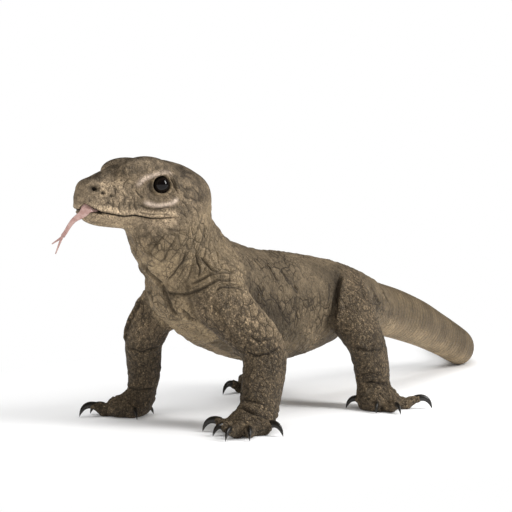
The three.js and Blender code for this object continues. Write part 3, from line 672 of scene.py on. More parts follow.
@dataclass(frozen=True)
class View:
    """The main camera: its place, its heading over the floor, how far it looks down and its lens."""

    place: tuple = (1076.2, -1261.7, 261.0)
    right: tuple = (0.7615, 0.648, 0.0)
    away: tuple = (-0.648, 0.7615, 0.0)
    down: float = math.atan(56 / 1348)
    focal_px: float = 1348.0
    width_px: float = 512.0
    sensor_mm: float = 36.0

    def axes(self) -> tuple[np.ndarray, np.ndarray, np.ndarray]:
        """Right, up and forward of the camera.

        Returns:
            Three directions of length 1.
        """
        right, away, z = np.array(self.right), np.array(self.away), np.array((0.0, 0.0, 1.0))
        forward = away * math.cos(self.down) - z * math.sin(self.down)
        return unit(right), unit(np.cross(unit(right), forward)), unit(forward)

    def ray(self, u: float, v: float) -> np.ndarray:
        """Direction of the line of sight through a pixel of the 512-pixel frame.

        Args:
            u: pixels from the frame's left edge.
            v: pixels from its top edge.

        Returns:
            A direction of length 1.
        """
        right, up, forward = self.axes()
        half = self.width_px / 2
        return unit(forward * self.focal_px + right * (u - half) - up * (v - half))

    def build(self) -> bpy.types.Object:
        """Makes the camera and makes it the scene's own.

        Returns:
            The camera.
        """
        data = bpy.data.cameras.new("camera")
        data.sensor_width = self.sensor_mm
        data.lens = self.focal_px / self.width_px * self.sensor_mm
        data.clip_end = 30.0
        camera = linked_object("camera", data)
        camera.location = Vector(to_shared(np.array(self.place)))
        camera.rotation_euler = Vector(self.axes()[2]).to_track_quat("-Z", "Y").to_euler()
        bpy.context.scene.camera = camera
        return camera


# ------------------------------------------------------------------ folds, lids, lips and pits


@dataclass(frozen=True)
class Fold:
    """A crease of the skin along a line in the main view, in pixels of its 512-pixel frame.

    Its flanks swell by `swell` of its depth. With `step`, the skin to the left of the line's run laps over the
    skin to its right by that much. Folds with `both` run down the other side as well.
    """

    line: tuple
    width: float
    depth: float
    swell: float = 0.5
    both: bool = True
    step: float = 0.0


FOLDS = [
    # behind the jaw and down the side of the neck
    Fold(((206, 224), (204, 238), (199, 250), (196, 258)), 1.4, 1.4),
    Fold(((212, 230), (210, 245), (211, 256)), 1.3, 1.1),
    Fold(((199, 221), (198, 232), (194, 243), (189, 250)), 1.3, 1.1),
    Fold(((188, 228), (187, 237), (181, 247)), 1.3, 0.9),
    Fold(((188, 248), (183, 262), (174, 274), (165, 283)), 1.6, 1.7, 0.6),
    Fold(((197, 248), (197, 258), (200, 270), (198, 280)), 1.4, 1.7),
    Fold(((200, 256), (206, 263), (212, 270), (222, 272)), 1.5, 1.9, 0.6),
    Fold(((178, 239), (170, 247), (165, 258), (157, 266)), 1.4, 1.2),
    Fold(((168, 231), (160, 240), (152, 250), (147, 260)), 1.4, 1.2),
    Fold(((137, 232), (140, 243), (147, 253), (157, 258)), 1.4, 1.0),
    Fold(((150, 229), (151, 238), (158, 246)), 1.2, 0.8),
    Fold(((162, 227), (176, 231), (190, 229)), 1.3, 0.9),
    Fold(((188, 262), (183, 271), (178, 280)), 1.3, 1.1),
    Fold(((193, 262), (191, 272), (186, 282)), 1.3, 1.0),
    Fold(((216, 246), (222, 256), (232, 264), (240, 270)), 1.4, 1.1),
    Fold(((224, 248), (234, 256), (243, 262), (252, 270)), 1.3, 0.9),
    # the collar, from the throat over the shoulder
    Fold(((162, 283), (170, 294), (186, 295), (204, 288), (218, 280), (232, 280), (250, 285)), 1.8, 2.3, 0.6),
    Fold(((213, 292), (222, 287), (236, 287), (246, 291)), 1.6, 1.7),
    Fold(((186, 286), (198, 281), (210, 275), (224, 272), (238, 273)), 1.7, 1.8),
    # breast and far shoulder
    Fold(((144, 265), (148, 272), (156, 279), (163, 286)), 2.6, 3.4, 0.5, False),
    Fold(((160, 281), (163, 288), (167, 298), (172, 310), (179, 319)), 2.2, 3.0, 0.5, False),
    Fold(((182, 308), (190, 318), (197, 324)), 1.8, 2.0, 0.5, False),
    Fold(((150, 290), (153, 304), (152, 316)), 1.8, 1.6, 0.5, False),
    Fold(((141, 298), (143, 310), (141, 322)), 1.6, 1.2, 0.5, False),
    # shoulder, and the rear edge of the upper arm lapping over the flank
    Fold(((286, 347), (282, 337), (273, 326), (263, 314), (255, 306), (250, 297), (245, 289)),
         2.0, 2.6, 0.3, True, 4.0),
    Fold(((212, 297), (219, 312), (228, 328), (237, 342), (243, 354)), 2.4, 1.2, 0.3, True, 2.2),
    Fold(((248, 254), (256, 262), (263, 270), (269, 277)), 1.4, 1.9),
    Fold(((262, 257), (270, 268), (275, 277), (281, 286)), 1.6, 2.8, 0.6),
    Fold(((277, 265), (284, 275), (291, 287)), 1.4, 1.8),
    Fold(((283, 272), (290, 281), (300, 296)), 1.5, 1.7),
    Fold(((256, 284), (262, 296), (270, 308)), 1.5, 1.7),
    Fold(((268, 292), (276, 300), (284, 312)), 1.5, 1.6),
    Fold(((276, 300), (282, 314), (292, 328)), 1.5, 1.4),
    # flank
    Fold(((294, 292), (297, 306), (296, 322)), 1.5, 1.4),
    Fold(((306, 286), (309, 300), (308, 316)), 1.4, 1.2),
    Fold(((318, 284), (321, 298), (321, 314)), 1.4, 1.1),
    Fold(((330, 280), (330, 294), (328, 308)), 1.5, 1.3),
    Fold(((292, 258), (300, 268), (306, 280)), 1.4, 1.2),
    # elbow, wrist and ankle
    Fold(((240, 407), (255, 413), (272, 419)), 1.9, 2.4),
    Fold(((241, 399), (256, 402), (272, 407)), 1.5, 1.4),
    Fold(((243, 350), (256, 356), (270, 353), (282, 345)), 1.7, 1.7),
    Fold(((247, 334), (258, 341), (273, 338)), 1.5, 1.3),
    Fold(((127, 388), (140, 390), (155, 388)), 1.7, 2.0, 0.5, False),
    Fold(((128, 348), (142, 352), (157, 347)), 1.6, 1.5, 0.5, False),
    Fold(((355, 386), (370, 382), (385, 384), (392, 388)), 1.8, 2.4),
    Fold(((358, 376), (370, 373), (386, 376)), 1.5, 1.4),
    Fold(((353, 346), (366, 351), (384, 349)), 1.6, 1.4),
    # groin, where the thigh laps over the belly, and the back of the thigh
    Fold(((341, 272), (339, 284), (337, 300), (336, 318), (337, 334)), 2.6, 4.6, 0.4, True, 3.0),
    Fold(((369, 284), (374, 295), (381, 307)), 2.0, 2.6, 0.7),
    Fold(((379, 284), (385, 296), (391, 306)), 1.8, 2.0, 0.7),
    Fold(((360, 280), (363, 292), (368, 304)), 1.5, 1.3),
]

MOUTH = ((-12, 250.5), (6, 250), (24, 246.6), (46, 242.6), (58, 243.8), (76, 240.4), (100, 241.8))
ARM_SHADE = (-74.0, 155.0, 1.45)  # where the arm's shade on the flank is deepest: y at one height, and its slope
TONGUE_DOOR = ((-1.5, 247.0), (0.5, 247.9), (7.7, 257.7), (13, 255.0), (20.7, 250.4), (25, 247.5))  # the lip's notch
ORBIT_SHIFT = (-2.4, -2.6)  # of the orbit's lines against the eye, because the lids stand out beyond the ball
UPPER_RIDGE = (
    (-31, -0.3), (-27, 3), (-21.4, 8.6), (-12.7, 11.6), (-3.8, 14.3), (3.7, 15.6), (11.2, 14.3), (15.2, 10.8),
)
LOWER_FOLD = ((-21.3, -15.4), (-18.6, -17), (-12, -19.3), (-5.8, -20.6), (0.8, -20.2), (7.4, -18.6), (13, -15.4),
              (16.8, -10.7))
UNDER_CREASE = ((-26.5, -19), (-21.5, -21), (-14.9, -24.1), (-8.2, -24.8), (-3.3, -24.1), (2.4, -22.6), (10.3, -20.3))
FRONT_CREASE = ((-30, -3), (-26, -8), (-21, -12.5))
REAR_CREASE = ((9.9, 11), (13.3, 6.8), (15, 2), (15.8, -3), (17.4, -9))
# Lines of cheek and snout about the eye, with width and depth.
CHEEK_LINES = (
    (((-26, -27), (-14, -30), (0, -30), (10, -32)), 1.2, 1.0),
    (((20, 4), (26, -2), (34, -2)), 1.1, 1.1),
    (((19, -14), (26, -21), (30, -31)), 1.2, 1.2),
    (((22, 11), (32, 13), (41, 8)), 1.2, 1.0),
    (((28, -10), (38, -15), (43, -26)), 1.2, 1.1),
    (((36, 2), (42, -6), (48, -12)), 1.1, 0.9),
    (((-52, 1), (-51, -6), (-52, -14)), 1.0, 1.6),
    (((-44, -4), (-41, -13), (-43, -22)), 1.0, 0.9),
    (((-70, 8), (-66, 13), (-58, 16)), 1.0, 0.8),
    (((-36, 10), (-42, 2), (-41, -4)), 1.0, 0.8),
    (((-55, -12), (-53, -19), (-54, -27)), 1.0, 0.9),
    (((-46, -16), (-47, -23), (-44, -29)), 1.0, 0.9),
    (((-37, -15), (-35, -22), (-36, -30)), 1.0, 1.0),
    (((-30, -12), (-30, -20), (-26, -27)), 1.0, 0.9),
    (((22, -8), (27, -12), (32, -13)), 1.0, 0.9),
    (((12, -27), (20, -29), (27, -35)), 1.1, 0.9),
    (((34, 16), (42, 17), (50, 12)), 1.1, 0.9),
    (((44, 4), (50, -4), (54, -16)), 1.2, 0.9),
    (((32, -20), (40, -26), (44, -36)), 1.2, 1.0),
)
LID_OPENING = 9.4  # radius between the lids
NOSTRIL = (12.5, 272.8)  # back from the snout, and height
EAR = (131.0, 262.0)
FACE_BACK, FACE_LOW = 150.0, 205.0  # bounds of the head behind and below
NAPE, NAPE_FACING = (132.0, 250.0), (-0.5, 0.866)  # where the head's hide ends, and where that edge faces
NAPE_WIDTH = (-16, 14)  # over which it passes into the neck's
# Heights between which a hide, a seam or the painted shade fades.
ARM_TOP, LEG_TOP, SHANK_HIDE, PAW_HIDE, PAW_WRINKLES = (172, 146), 190, (130, 62), (60, 34), (40, 24)
SEAM_TOP, SEAM_FOOT, SHADE_TOP, SHADE_FOOT = (180, 160), (62, 80), (184, 162), (60, 80)
SEAM_WIDTH, SEAM_DEPTH = 4.0, 2.4  # of the groove where a limb parts from the trunk
NECK_HIDE = (-60, -105)  # y over which the trunk's hide passes into the neck's
THIGH_SHADE, THIGH_EDGE = (58, 96), 120  # y over which painted shade darkens the flank before the thigh, and where that ends
ARM_SHADE_WIDTH, ARM_SHADE_EDGE = (42, 0), -100
TAIL_HIDE = (0.33, 0.42)  # metres along the body over which the back's hide passes into the tail's
MOUTH_CORNER, MOUTH_PARTED = (108, 92), (96, 66)  # back from the snout, where its line ends and where it is deepest
SNOUT_BACK, SNOUT_TOP = (66, 36), (288, 276)  # bounds of the paler snout
DOOR_ACROSS = (0.765, 0.49)  # direction across the tongue's notch, back and to the left
# The net of wrinkles: size of its cushions, depth, and a seed.
WRINKLES = {
    "neck": ((17.0, 12.0, 17.0), 2.2, 3), "flank": ((15.0, 11.0, 19.0), 1.6, 5),
    "leg": ((12.0, 12.0, 10.0), 1.2, 7), "paw": ((9.0, 9.0, 8.0), 1.9, 9),
}
MASKS = ("crease", "line", "ridge", "lip", "gape", "pit", "fold_deep")
# Pits of the snout: place back from its tip, height, radius and depth.
SNOUT_PITS = (
    (21, 268.7, 1.9, 2.4), (30, 265.0, 1.8, 2.2), (36, 272, 1.1, 0.8), (27, 258.5, 1.1, 0.6), (44, 261, 1.2, 0.8),
)


class Creases:
    """The named folds, laid on the flesh as lines in space."""

    longest_jump = 22.0  # a line that jumps further has slipped off what it lies on
    room = 5.5  # the mesh is finer this near to a line

    def __init__(self, mesh: SkinMesh, view: View) -> None:
        """Lays every fold on the side that the main view shows, and those that both sides have on the other too.

        Args:
            mesh: the skin that the folds lie on.
            view: the view that they are drawn in.
        """
        self.view = view
        self.tree = BVHTree.FromPolygons([Vector(p) for p in mesh.points], mesh.faces)
        self.placed = []
        for item in FOLDS:
            line = self._place(item.line)
            if len(line) < 2:
                continue
            self.placed.append((self._smooth(line), item, 1.0))
            if item.both:
                mirrored = np.array([self.tree.find_nearest(Vector((-x, y, z)))[0] for x, y, z in line])
                self.placed.append((self._smooth(mirrored), item, -1.0))

    def _place(self, pixels: tuple) -> np.ndarray:
        """The longest unbroken line on the flesh under a line of pixels.

        Args:
            pixels: corners of the line, in the main view.

        Returns:
            Points on the flesh, in order.
        """
        eye = Vector(self.view.place)
        steps = [(*a, *b, t) for a, b in zip(pixels[:-1], pixels[1:]) for t in (0.0, 0.5)]
        steps.append((*pixels[-1], *pixels[-1], 0.0))
        runs: list[list] = [[]]
        for u0, v0, u1, v1, t in steps:
            hit = self.tree.ray_cast(eye, Vector(self.view.ray(u0 + t * (u1 - u0), v0 + t * (v1 - v0))))[0]
            if hit is None or (runs[-1] and (hit - runs[-1][-1]).length > self.longest_jump):
                runs.append([])
            if hit is not None:
                runs[-1].append(hit)
        return np.array(max(runs, key=len))

    @staticmethod
    def _smooth(line: np.ndarray) -> np.ndarray:
        """The line with its corners rounded."""
        return spline(line, np.linspace(0, 1, 3 * len(line)))

    def near(self, middles: np.ndarray) -> np.ndarray:
        """Which places lie near to a fold.

        Args:
            middles: N middles of faces.

        Returns:
            N answers.
        """
        found = np.zeros(len(middles), bool)
        for line, _, _ in self.placed:
            box = ((middles > line.min(0) - self.room) & (middles < line.max(0) + self.room)).all(1)
            around = np.flatnonzero(box & ~found)
            found[around] = polyline_distance(middles[around], line)[0] < self.room
        return found


class Relief:
    """Everything that the skin has beyond the plain flesh: it moves vertices and keeps masks for the finish."""

    def __init__(self, mesh: SkinMesh) -> None:
        """Measures where each vertex lies on the animal.

        Args:
            mesh: the plain skin.
        """
        self.mesh = mesh
        self.points = mesh.points.copy()
        _, gradient = mesh.flesh.slope(self.points)
        self.normals = unit(gradient)
        self.lift = np.zeros(len(self.points))
        self.side_push = np.zeros(len(self.points))
        self.masks = {name: np.zeros(len(self.points)) for name in MASKS}
        self.masks["fold_side"] = np.full(len(self.points), 9.0)
        self.masks["fold_near"] = np.full(len(self.points), 9.0)
        self.s, self.w, self.z = head_axes(self.points)
        self.on_face = (self.s < FACE_BACK) & (self.z > FACE_LOW)

    def mark(self, name: str, amount: np.ndarray) -> None:
        """Raises a mask to at least `amount`."""
        self.masks[name] = np.maximum(self.masks[name], amount)

    def regions(self) -> None:
        """Masks for head, neck, legs, underside and tail, with painted shade and painted light among them."""
        flesh = self.mesh.flesh
        limb = flesh.limb_distance(self.points)
        bare = np.minimum(flesh.axis.distance(self.points), flesh.neck.distance(self.points))
        fore = self.points[:, 1] < 0
        leg = smoothstep(0, 14, bare - limb) * np.where(fore, smoothstep(*ARM_TOP, self.z), 1.0)
        low = smoothstep(*PAW_HIDE, self.z) * (self.points[:, 1] < TAIL_START)
        self.masks["leg"] = np.maximum(leg * (self.z < LEG_TOP), low)
        forward = (self.z - NAPE[1]) * NAPE_FACING[1] + (self.s - NAPE[0]) * NAPE_FACING[0]
        self.masks["head"] = smoothstep(*NAPE_WIDTH, forward)
        body = (1 - self.masks["head"]) * (1 - self.masks["leg"])
        self.masks["neck"] = body * smoothstep(*NECK_HIDE, self.points[:, 1])
        self.masks["top"] = smoothstep(0.35, 0.9, self.normals[:, 2]) * (1 - self.masks["leg"])
        # Skin that faces down, which the finish paints paler: painted light in the shade under the body.
        self.masks["under"] = smoothstep(0.15, 0.85, -self.normals[:, 2]) * (1 - self.masks["leg"])
        seam = bell(bare - limb, SEAM_WIDTH) * smoothstep(*SEAM_TOP, self.z) * smoothstep(*SEAM_FOOT, self.z)
        self.lift -= SEAM_DEPTH * seam
        # painted shade along the seam
        self.mark("crease", 0.8 * seam)
        x, y = np.abs(self.points[:, 0]), self.points[:, 1]
        # Painted shade on the flank, behind the upper arm and before the thigh.
        past_arm = y - ARM_SHADE[0] - (ARM_SHADE[1] - self.z) * ARM_SHADE[2]
        behind_arm = smoothstep(*ARM_SHADE_WIDTH, past_arm) * (y > ARM_SHADE_EDGE)
        before_thigh = smoothstep(*THIGH_SHADE, y) * (y < THIGH_EDGE) * smoothstep(*SHADE_FOOT, self.z)
        painted_shade = np.maximum(behind_arm, before_thigh)
        self.masks["painted_shade"] = painted_shade * (1 - leg) * smoothstep(*SHADE_TOP, self.z) * (x > 15)
        # Painted light on the rear outer face of each upper arm, picked by the way the skin faces; the hide there is
        # also less beaded.
        rear = self.normals[:, 0] * np.sign(self.points[:, 0]) * 0.76 + self.normals[:, 1] * 0.65
        rear = rear * (self.normals[:, 2] > -0.7)
        rim = smoothstep(0.25, 0.85, rear) * smoothstep(86, 112, self.z) * (y < 0)
        self.masks["leg"] = np.maximum(leg * (1 - 0.75 * rim) * (self.z < LEG_TOP), low)
        self.masks["rim"] = rim * leg
        # The upper hind thigh is darkened through the same painted shade mask.
        self.masks["painted_shade"] += 0.4 * leg * (y > 40) * smoothstep(60, 90, self.z)
        self.masks["low"] = smoothstep(*SHANK_HIDE, self.z) * self.masks["leg"]
        self.masks["along"] = flesh.axis.measure(self.points)[1] / 1000.0
        self.masks["tail"] = smoothstep(*TAIL_HIDE, self.masks["along"]) * (1 - self.masks["leg"])

    def fold(self, line: np.ndarray, item: Fold, turned: float) -> None:
        """Presses a crease along a line and lets the skin swell beside it, or lap over it on one side.

        Args:
            line: points of the fold on the flesh.
            item: its width, depth, swell and step.
            turned: 1, or -1 where the fold is mirrored.
        """
        room = max(item.width * 5, 4 * item.step, 9.0)
        near = np.flatnonzero(((self.points > line.min(0) - room) & (self.points < line.max(0) + room)).all(1))
        d, share, side = polyline_distance(self.points[near], line, self.normals[near])
        side = side * turned
        fade = smoothstep(0, 0.2, share) * smoothstep(1, 0.8, share)
        press = item.swell * bell(d - item.width * 2.2, item.width * 1.2) - bell(d, item.width * 0.8)
        lap = np.tanh(side * d / 1.2) * bell(d, 7.0)
        self.lift[near] += fade * (item.depth * press + item.step * lap)
        # The nearest fold's distance, side and depth, by which the finish paints shade along it.
        closer = d < self.masks["fold_near"][near]
        chosen = near[closer]
        self.masks["fold_near"][chosen] = d[closer]
        self.masks["fold_side"][chosen] = (side * d)[closer]
        self.masks["fold_deep"][chosen] = (fade * min(1.0, item.depth / 2.4))[closer]
        # painted shade in the fold's crease
        soft = fade * bell(d, item.width * 1.5) * min(1.0, item.depth / 2.6)
        self.masks["crease"][near] = np.maximum(self.masks["crease"][near], soft)

    def folds(self, creases: Creases) -> None:
        """The named folds, on both sides of the animal."""
        for line, item, turned in creases.placed:
            self.fold(line, item, turned)

    def wrinkles(self) -> None:
        """A net of wrinkles that parts the skin into small cushions, tall on the flanks."""
        head, leg, tail, neck = (self.masks[name] for name in ("head", "leg", "tail", "neck"))
        shares = {"neck": neck, "leg": leg, "flank": (1 - head) * (1 - leg) * (1 - tail) * (1 - neck)}
        shares["paw"] = smoothstep(*PAW_WRINKLES, self.z) * (self.points[:, 1] < TAIL_START)
        warp = 2.2 * np.sin(self.points[:, [1, 2, 0]] / 15.0) + 1.1 * np.sin(self.points[:, [2, 0, 1]] / 6.3 + 1.0)
        for name, (size, depth, seed) in WRINKLES.items():
            share = shares[name]
            here = np.flatnonzero(share > 0.02)
            edge = cell_edges((self.points[here] + warp[here]) / np.array(size), seed)
            self.lift[here] += share[here] * depth * (smoothstep(0, 0.75, edge) - 0.6)

    def face(self) -> None:
        """Lips and the line of the mouth, lids and orbits, nostrils, pits and ears."""
        line = np.array(MOUTH, float)
        height = np.interp(self.s, line[:, 0], line[:, 1])
        off = self.z - height
        ends = smoothstep(*MOUTH_CORNER, self.s) * self.on_face
        open_front = smoothstep(*MOUTH_PARTED, self.s)
        # The mouth's line is painted black by the finish: painted shadow in the slit between the lips.
        self.masks["mouth_off"] = np.clip(off, -12, 12)
        self.masks["mouth_deep"] = ends * (0.45 + 0.55 * open_front)
        self.lift += ends * (1.3 * bell(off - 3.8, 2.8) + 0.9 * bell(off + 3.6, 2.6) - 2.2 * bell(off, 1.0))
        self.mark("lip", ends * np.maximum(bell(off - 4.2, 4.2), 0.6 * bell(off + 6, 8)))
        snout = smoothstep(*SNOUT_BACK, self.s) * self.on_face * smoothstep(*SNOUT_TOP, self.z)
        self.mark("lip", 0.34 * snout)
        door = np.array(TONGUE_DOOR, float)
        across = DOOR_ACROSS[0] * self.s + DOOR_ACROSS[1] * self.w
        top = np.interp(across, door[:, 0], door[:, 1])
        inside = self.on_face & (self.s < 45) & (across > door[0, 0]) & (across < door[-1, 0])
        inside = inside * smoothstep(-14, -7, self.w)
        gape = inside * smoothstep(0.6, -0.9, self.z - top) * smoothstep(-1.6, -0.2, self.z - height + 1.0)
        self.lift -= 3.6 * gape
        self.lift += 0.8 * inside * bell(self.z - top - 2.2, 1.6)
        # The notch is painted black: painted shadow in the mouth's opening above the tongue.
        self.mark("gape", gape)
        self.masks["lid"] = np.full(len(self.points), 40.0)
        for side in Side:
            here = self.on_face & (self.w * side.value > 3)
            self._eye(side, here)
            self._nose(here)
            self._ear(here)

    def _flat(self, here: np.ndarray, line: tuple, centre: tuple) -> tuple[np.ndarray, np.ndarray]:
        """Distance of the vertices on one cheek to a line drawn in (s, z) about a centre.

        Args:
            here: which vertices are on the cheek.
            line: corners of the line.
            centre: what they are drawn about.

        Returns:
            The distance of each vertex there, and how far along the line it comes nearest.
        """
        at = np.column_stack([self.s[here] - centre[0], self.z[here] - centre[1], np.zeros(here.sum())])
        corners = np.column_stack([np.array(line, float), np.zeros(len(line))])
        smooth = spline(corners, np.linspace(0, 1, 4 * len(line)))
        return polyline_distance(at, smooth)[:2]

    def _ridge(
        self, here: np.ndarray, line: tuple, width: float, height: float, mask: str, loss: float = 0.0
    ) -> None:
        """Raises a line about the eye, or presses it where its height is negative.

        Args:
            here: which vertices are on the cheek.
            line: its corners in (s, z) about the eye.
            width: how wide it is.
            height: how far it stands out.
            mask: the mask that keeps it.
            loss: how much of the mask is lost behind the eye.
        """
        d, share = self._flat(here, line, (EYE_S + ORBIT_SHIFT[0], EYE_Z + ORBIT_SHIFT[1]))
        fade = smoothstep(0, 0.15, share) * smoothstep(1, 0.85, share)
        self.lift[here] += height * fade * bell(d, width)
        amount = np.zeros(len(self.points))
        amount[here] = fade * bell(d, width * 1.05) * (1 - loss * smoothstep(0.4, 0.65, share))
        self.mark(mask, amount)

    def _eye(self, side: Side, here: np.ndarray) -> None:
        """The socket, the rims of the lids, and the almond of the orbit round them.

        Args:
            side: the side of the head.
            here: which vertices are on that side.
        """
        ds, dz = self.s - EYE_S, self.z - EYE_Z
        r = np.hypot(ds + 1.2, dz)
        almond = np.hypot((ds + 4) / 20.0, (dz + 1.5) / 14.0)
        # the sunk almond, the lids' rim with a groove round it, the swelling below, and the opening
        push = -3.6 * smoothstep(1.0, 0.6, almond)
        push = push + 1.7 * bell(r - LID_OPENING - 1.6, 1.3) - 1.0 * bell(r - 13.4, 1.1)
        push += 0.9 * bell(np.hypot(ds + 2, (dz + 14.5) * 1.6), 5.5)
        push += -9.5 * smoothstep(LID_OPENING + 0.2, LID_OPENING - 1.0, r)
        self.side_push += here * side.value * push
        self.masks["lid"] = np.where(here, np.minimum(r, 40.0), self.masks["lid"])
        # painted shade in the groove round the lids
        self.mark("crease", here * 0.7 * bell(r - 13.3, 0.9) * (ds > -8))
        # painted shadow in the front corner of the socket, inside the almond
        self.mark("line", here * 0.95 * bell(np.hypot((ds + 13.9) / 6.5, (dz + 1.4) / 5.0), 1.0))
        self._ridge(here, UPPER_RIDGE, 2.4, 2.8, "ridge", 0.5)
        self._ridge(here, LOWER_FOLD, 2.0, 2.0, "ridge", 0.0)
        for line, width, depth in ((FRONT_CREASE, 1.2, 1.2), (REAR_CREASE, 1.1, 1.6), (UNDER_CREASE, 1.2, 1.9)):
            self._ridge(here, line, width, -depth, "line")
        for line, width, depth in CHEEK_LINES:
            self._ridge(here, line, width, -depth, "line")

    def _nose(self, here: np.ndarray) -> None:
        """The nostril and the pits behind it.

        Args:
            here: which vertices are on one side of the head.
        """
        d = np.hypot((self.s - NOSTRIL[0]) / 1.5, self.z - NOSTRIL[1])
        self.lift += here * (-5.0 * bell(d, 2.5) + 1.2 * bell(d - 4.6, 1.6))
        # painted shadow in the nostril
        self.mark("pit", here * np.minimum(1.4 * bell(d, 2.7), 1.0))
        for s, z, radius, depth in SNOUT_PITS:
            d = np.hypot(self.s - s, self.z - z)
            self.lift += here * (-depth * bell(d, radius) + 0.15 * depth * bell(d - 2.4 * radius, radius))
            # painted shadow in each pit
            self.mark("pit", here * 0.95 * bell(d, radius))

    def _ear(self, here: np.ndarray) -> None:
        """The ear opening: a shallow slanted pit with a soft rim.

        Args:
            here: which vertices are on one side of the head.
        """
        ds, dz = self.s - EAR[0], self.z - EAR[1]
        along, across = dz * 0.95 + ds * 0.3, ds * 0.95 - dz * 0.3
        d = np.hypot(along / 1.6, across)
        self.lift += here * (-2.6 * bell(d, 3.0) + 0.7 * bell(d - 5.5, 2.0))
        # painted shade in the ear pit
        self.mark("crease", here * 0.8 * bell(d, 2.8))

    def apply(self) -> None:
        """Moves the vertices and keeps them over the floor."""
        left = np.array([math.cos(HEAD_YAW), -math.sin(HEAD_YAW), 0.0])
        moved = self.points + self.normals * self.lift[:, None] + np.outer(self.side_push, left)
        sole = smoothstep(6.0, 1.0, self.z)[:, None]
        moved = moved * (1 - sole) + self.points * sole
        moved[:, 2] = np.maximum(moved[:, 2], 0.0)
        self.points = moved


# ------------------------------------------------------------------ finishes


class NodeTree:
    """A node tree under construction."""

    def __init__(self, tree: bpy.types.NodeTree) -> None:
        """Takes up a tree that is there."""
        self.nodes = tree.nodes
        self.links = tree.links

    def node(self, kind: str, settings: dict | None = None, inputs: dict | None = None) -> bpy.types.Node:
        """Adds a node.

        Args:
            kind: the node's type.
            settings: properties, set first.
            inputs: values, signals or sockets by input name or number.

        Returns:
            The node.
        """
        node = self.nodes.new(kind)
        for key, value in (settings or {}).items():
            setattr(node, key, value)
        for key, value in (inputs or {}).items():
            socket = node.inputs[key]
            if isinstance(value, Signal):
                value = value.socket
            if isinstance(value, bpy.types.NodeSocket):
                self.links.new(value, socket)
            else:
                socket.default_value = value
        return node


class Signal:
    """A shader value: arithmetic on it adds Math nodes."""

    def __init__(self, tree: NodeTree, socket: bpy.types.NodeSocket) -> None:
        """Wraps an output socket of a tree."""
        self.tree = tree
        self.socket = socket

    def _math(self, operation: str, *values: object) -> "Signal":
        """A Math node on values and signals."""
        node = self.tree.node("ShaderNodeMath", {"operation": operation}, dict(enumerate(values)))
        return Signal(self.tree, node.outputs[0])

    def __add__(self, other: object) -> "Signal":
        """Sum."""
        return self._math("ADD", self, other)

    __radd__ = __add__

    def __mul__(self, other: object) -> "Signal":
        """Product."""
        return self._math("MULTIPLY", self, other)

    __rmul__ = __mul__

    def __sub__(self, other: object) -> "Signal":
        """Difference."""
        return self._math("SUBTRACT", self, other)

    def __rsub__(self, other: object) -> "Signal":
        """Difference from a value."""
        return self._math("SUBTRACT", other, self)

    def sine(self) -> "Signal":
        """Sine."""
        return self._math("SINE", self)

    def least(self, other: object) -> "Signal":
        """The lesser of the two."""
        return self._math("MINIMUM", self, other)

    def most(self, other: object) -> "Signal":
        """The greater of the two."""
        return self._math("MAXIMUM", self, other)

    def span(self, low: float, high: float, start: float = 0.0, end: float = 1.0) -> "Signal":
        """Maps low..high to start..end with smooth ends.

        Args:
            low: where the change begins.
            high: where it ends.
            start: the value before it.
            end: the value after it.

        Returns:
            The mapped value.
        """
        names = {"Value": self, "From Min": low, "From Max": high, "To Min": start, "To Max": end}
        node = self.tree.node("ShaderNodeMapRange", {"interpolation_type": "SMOOTHSTEP"}, names)
        return Signal(self.tree, node.outputs["Result"])


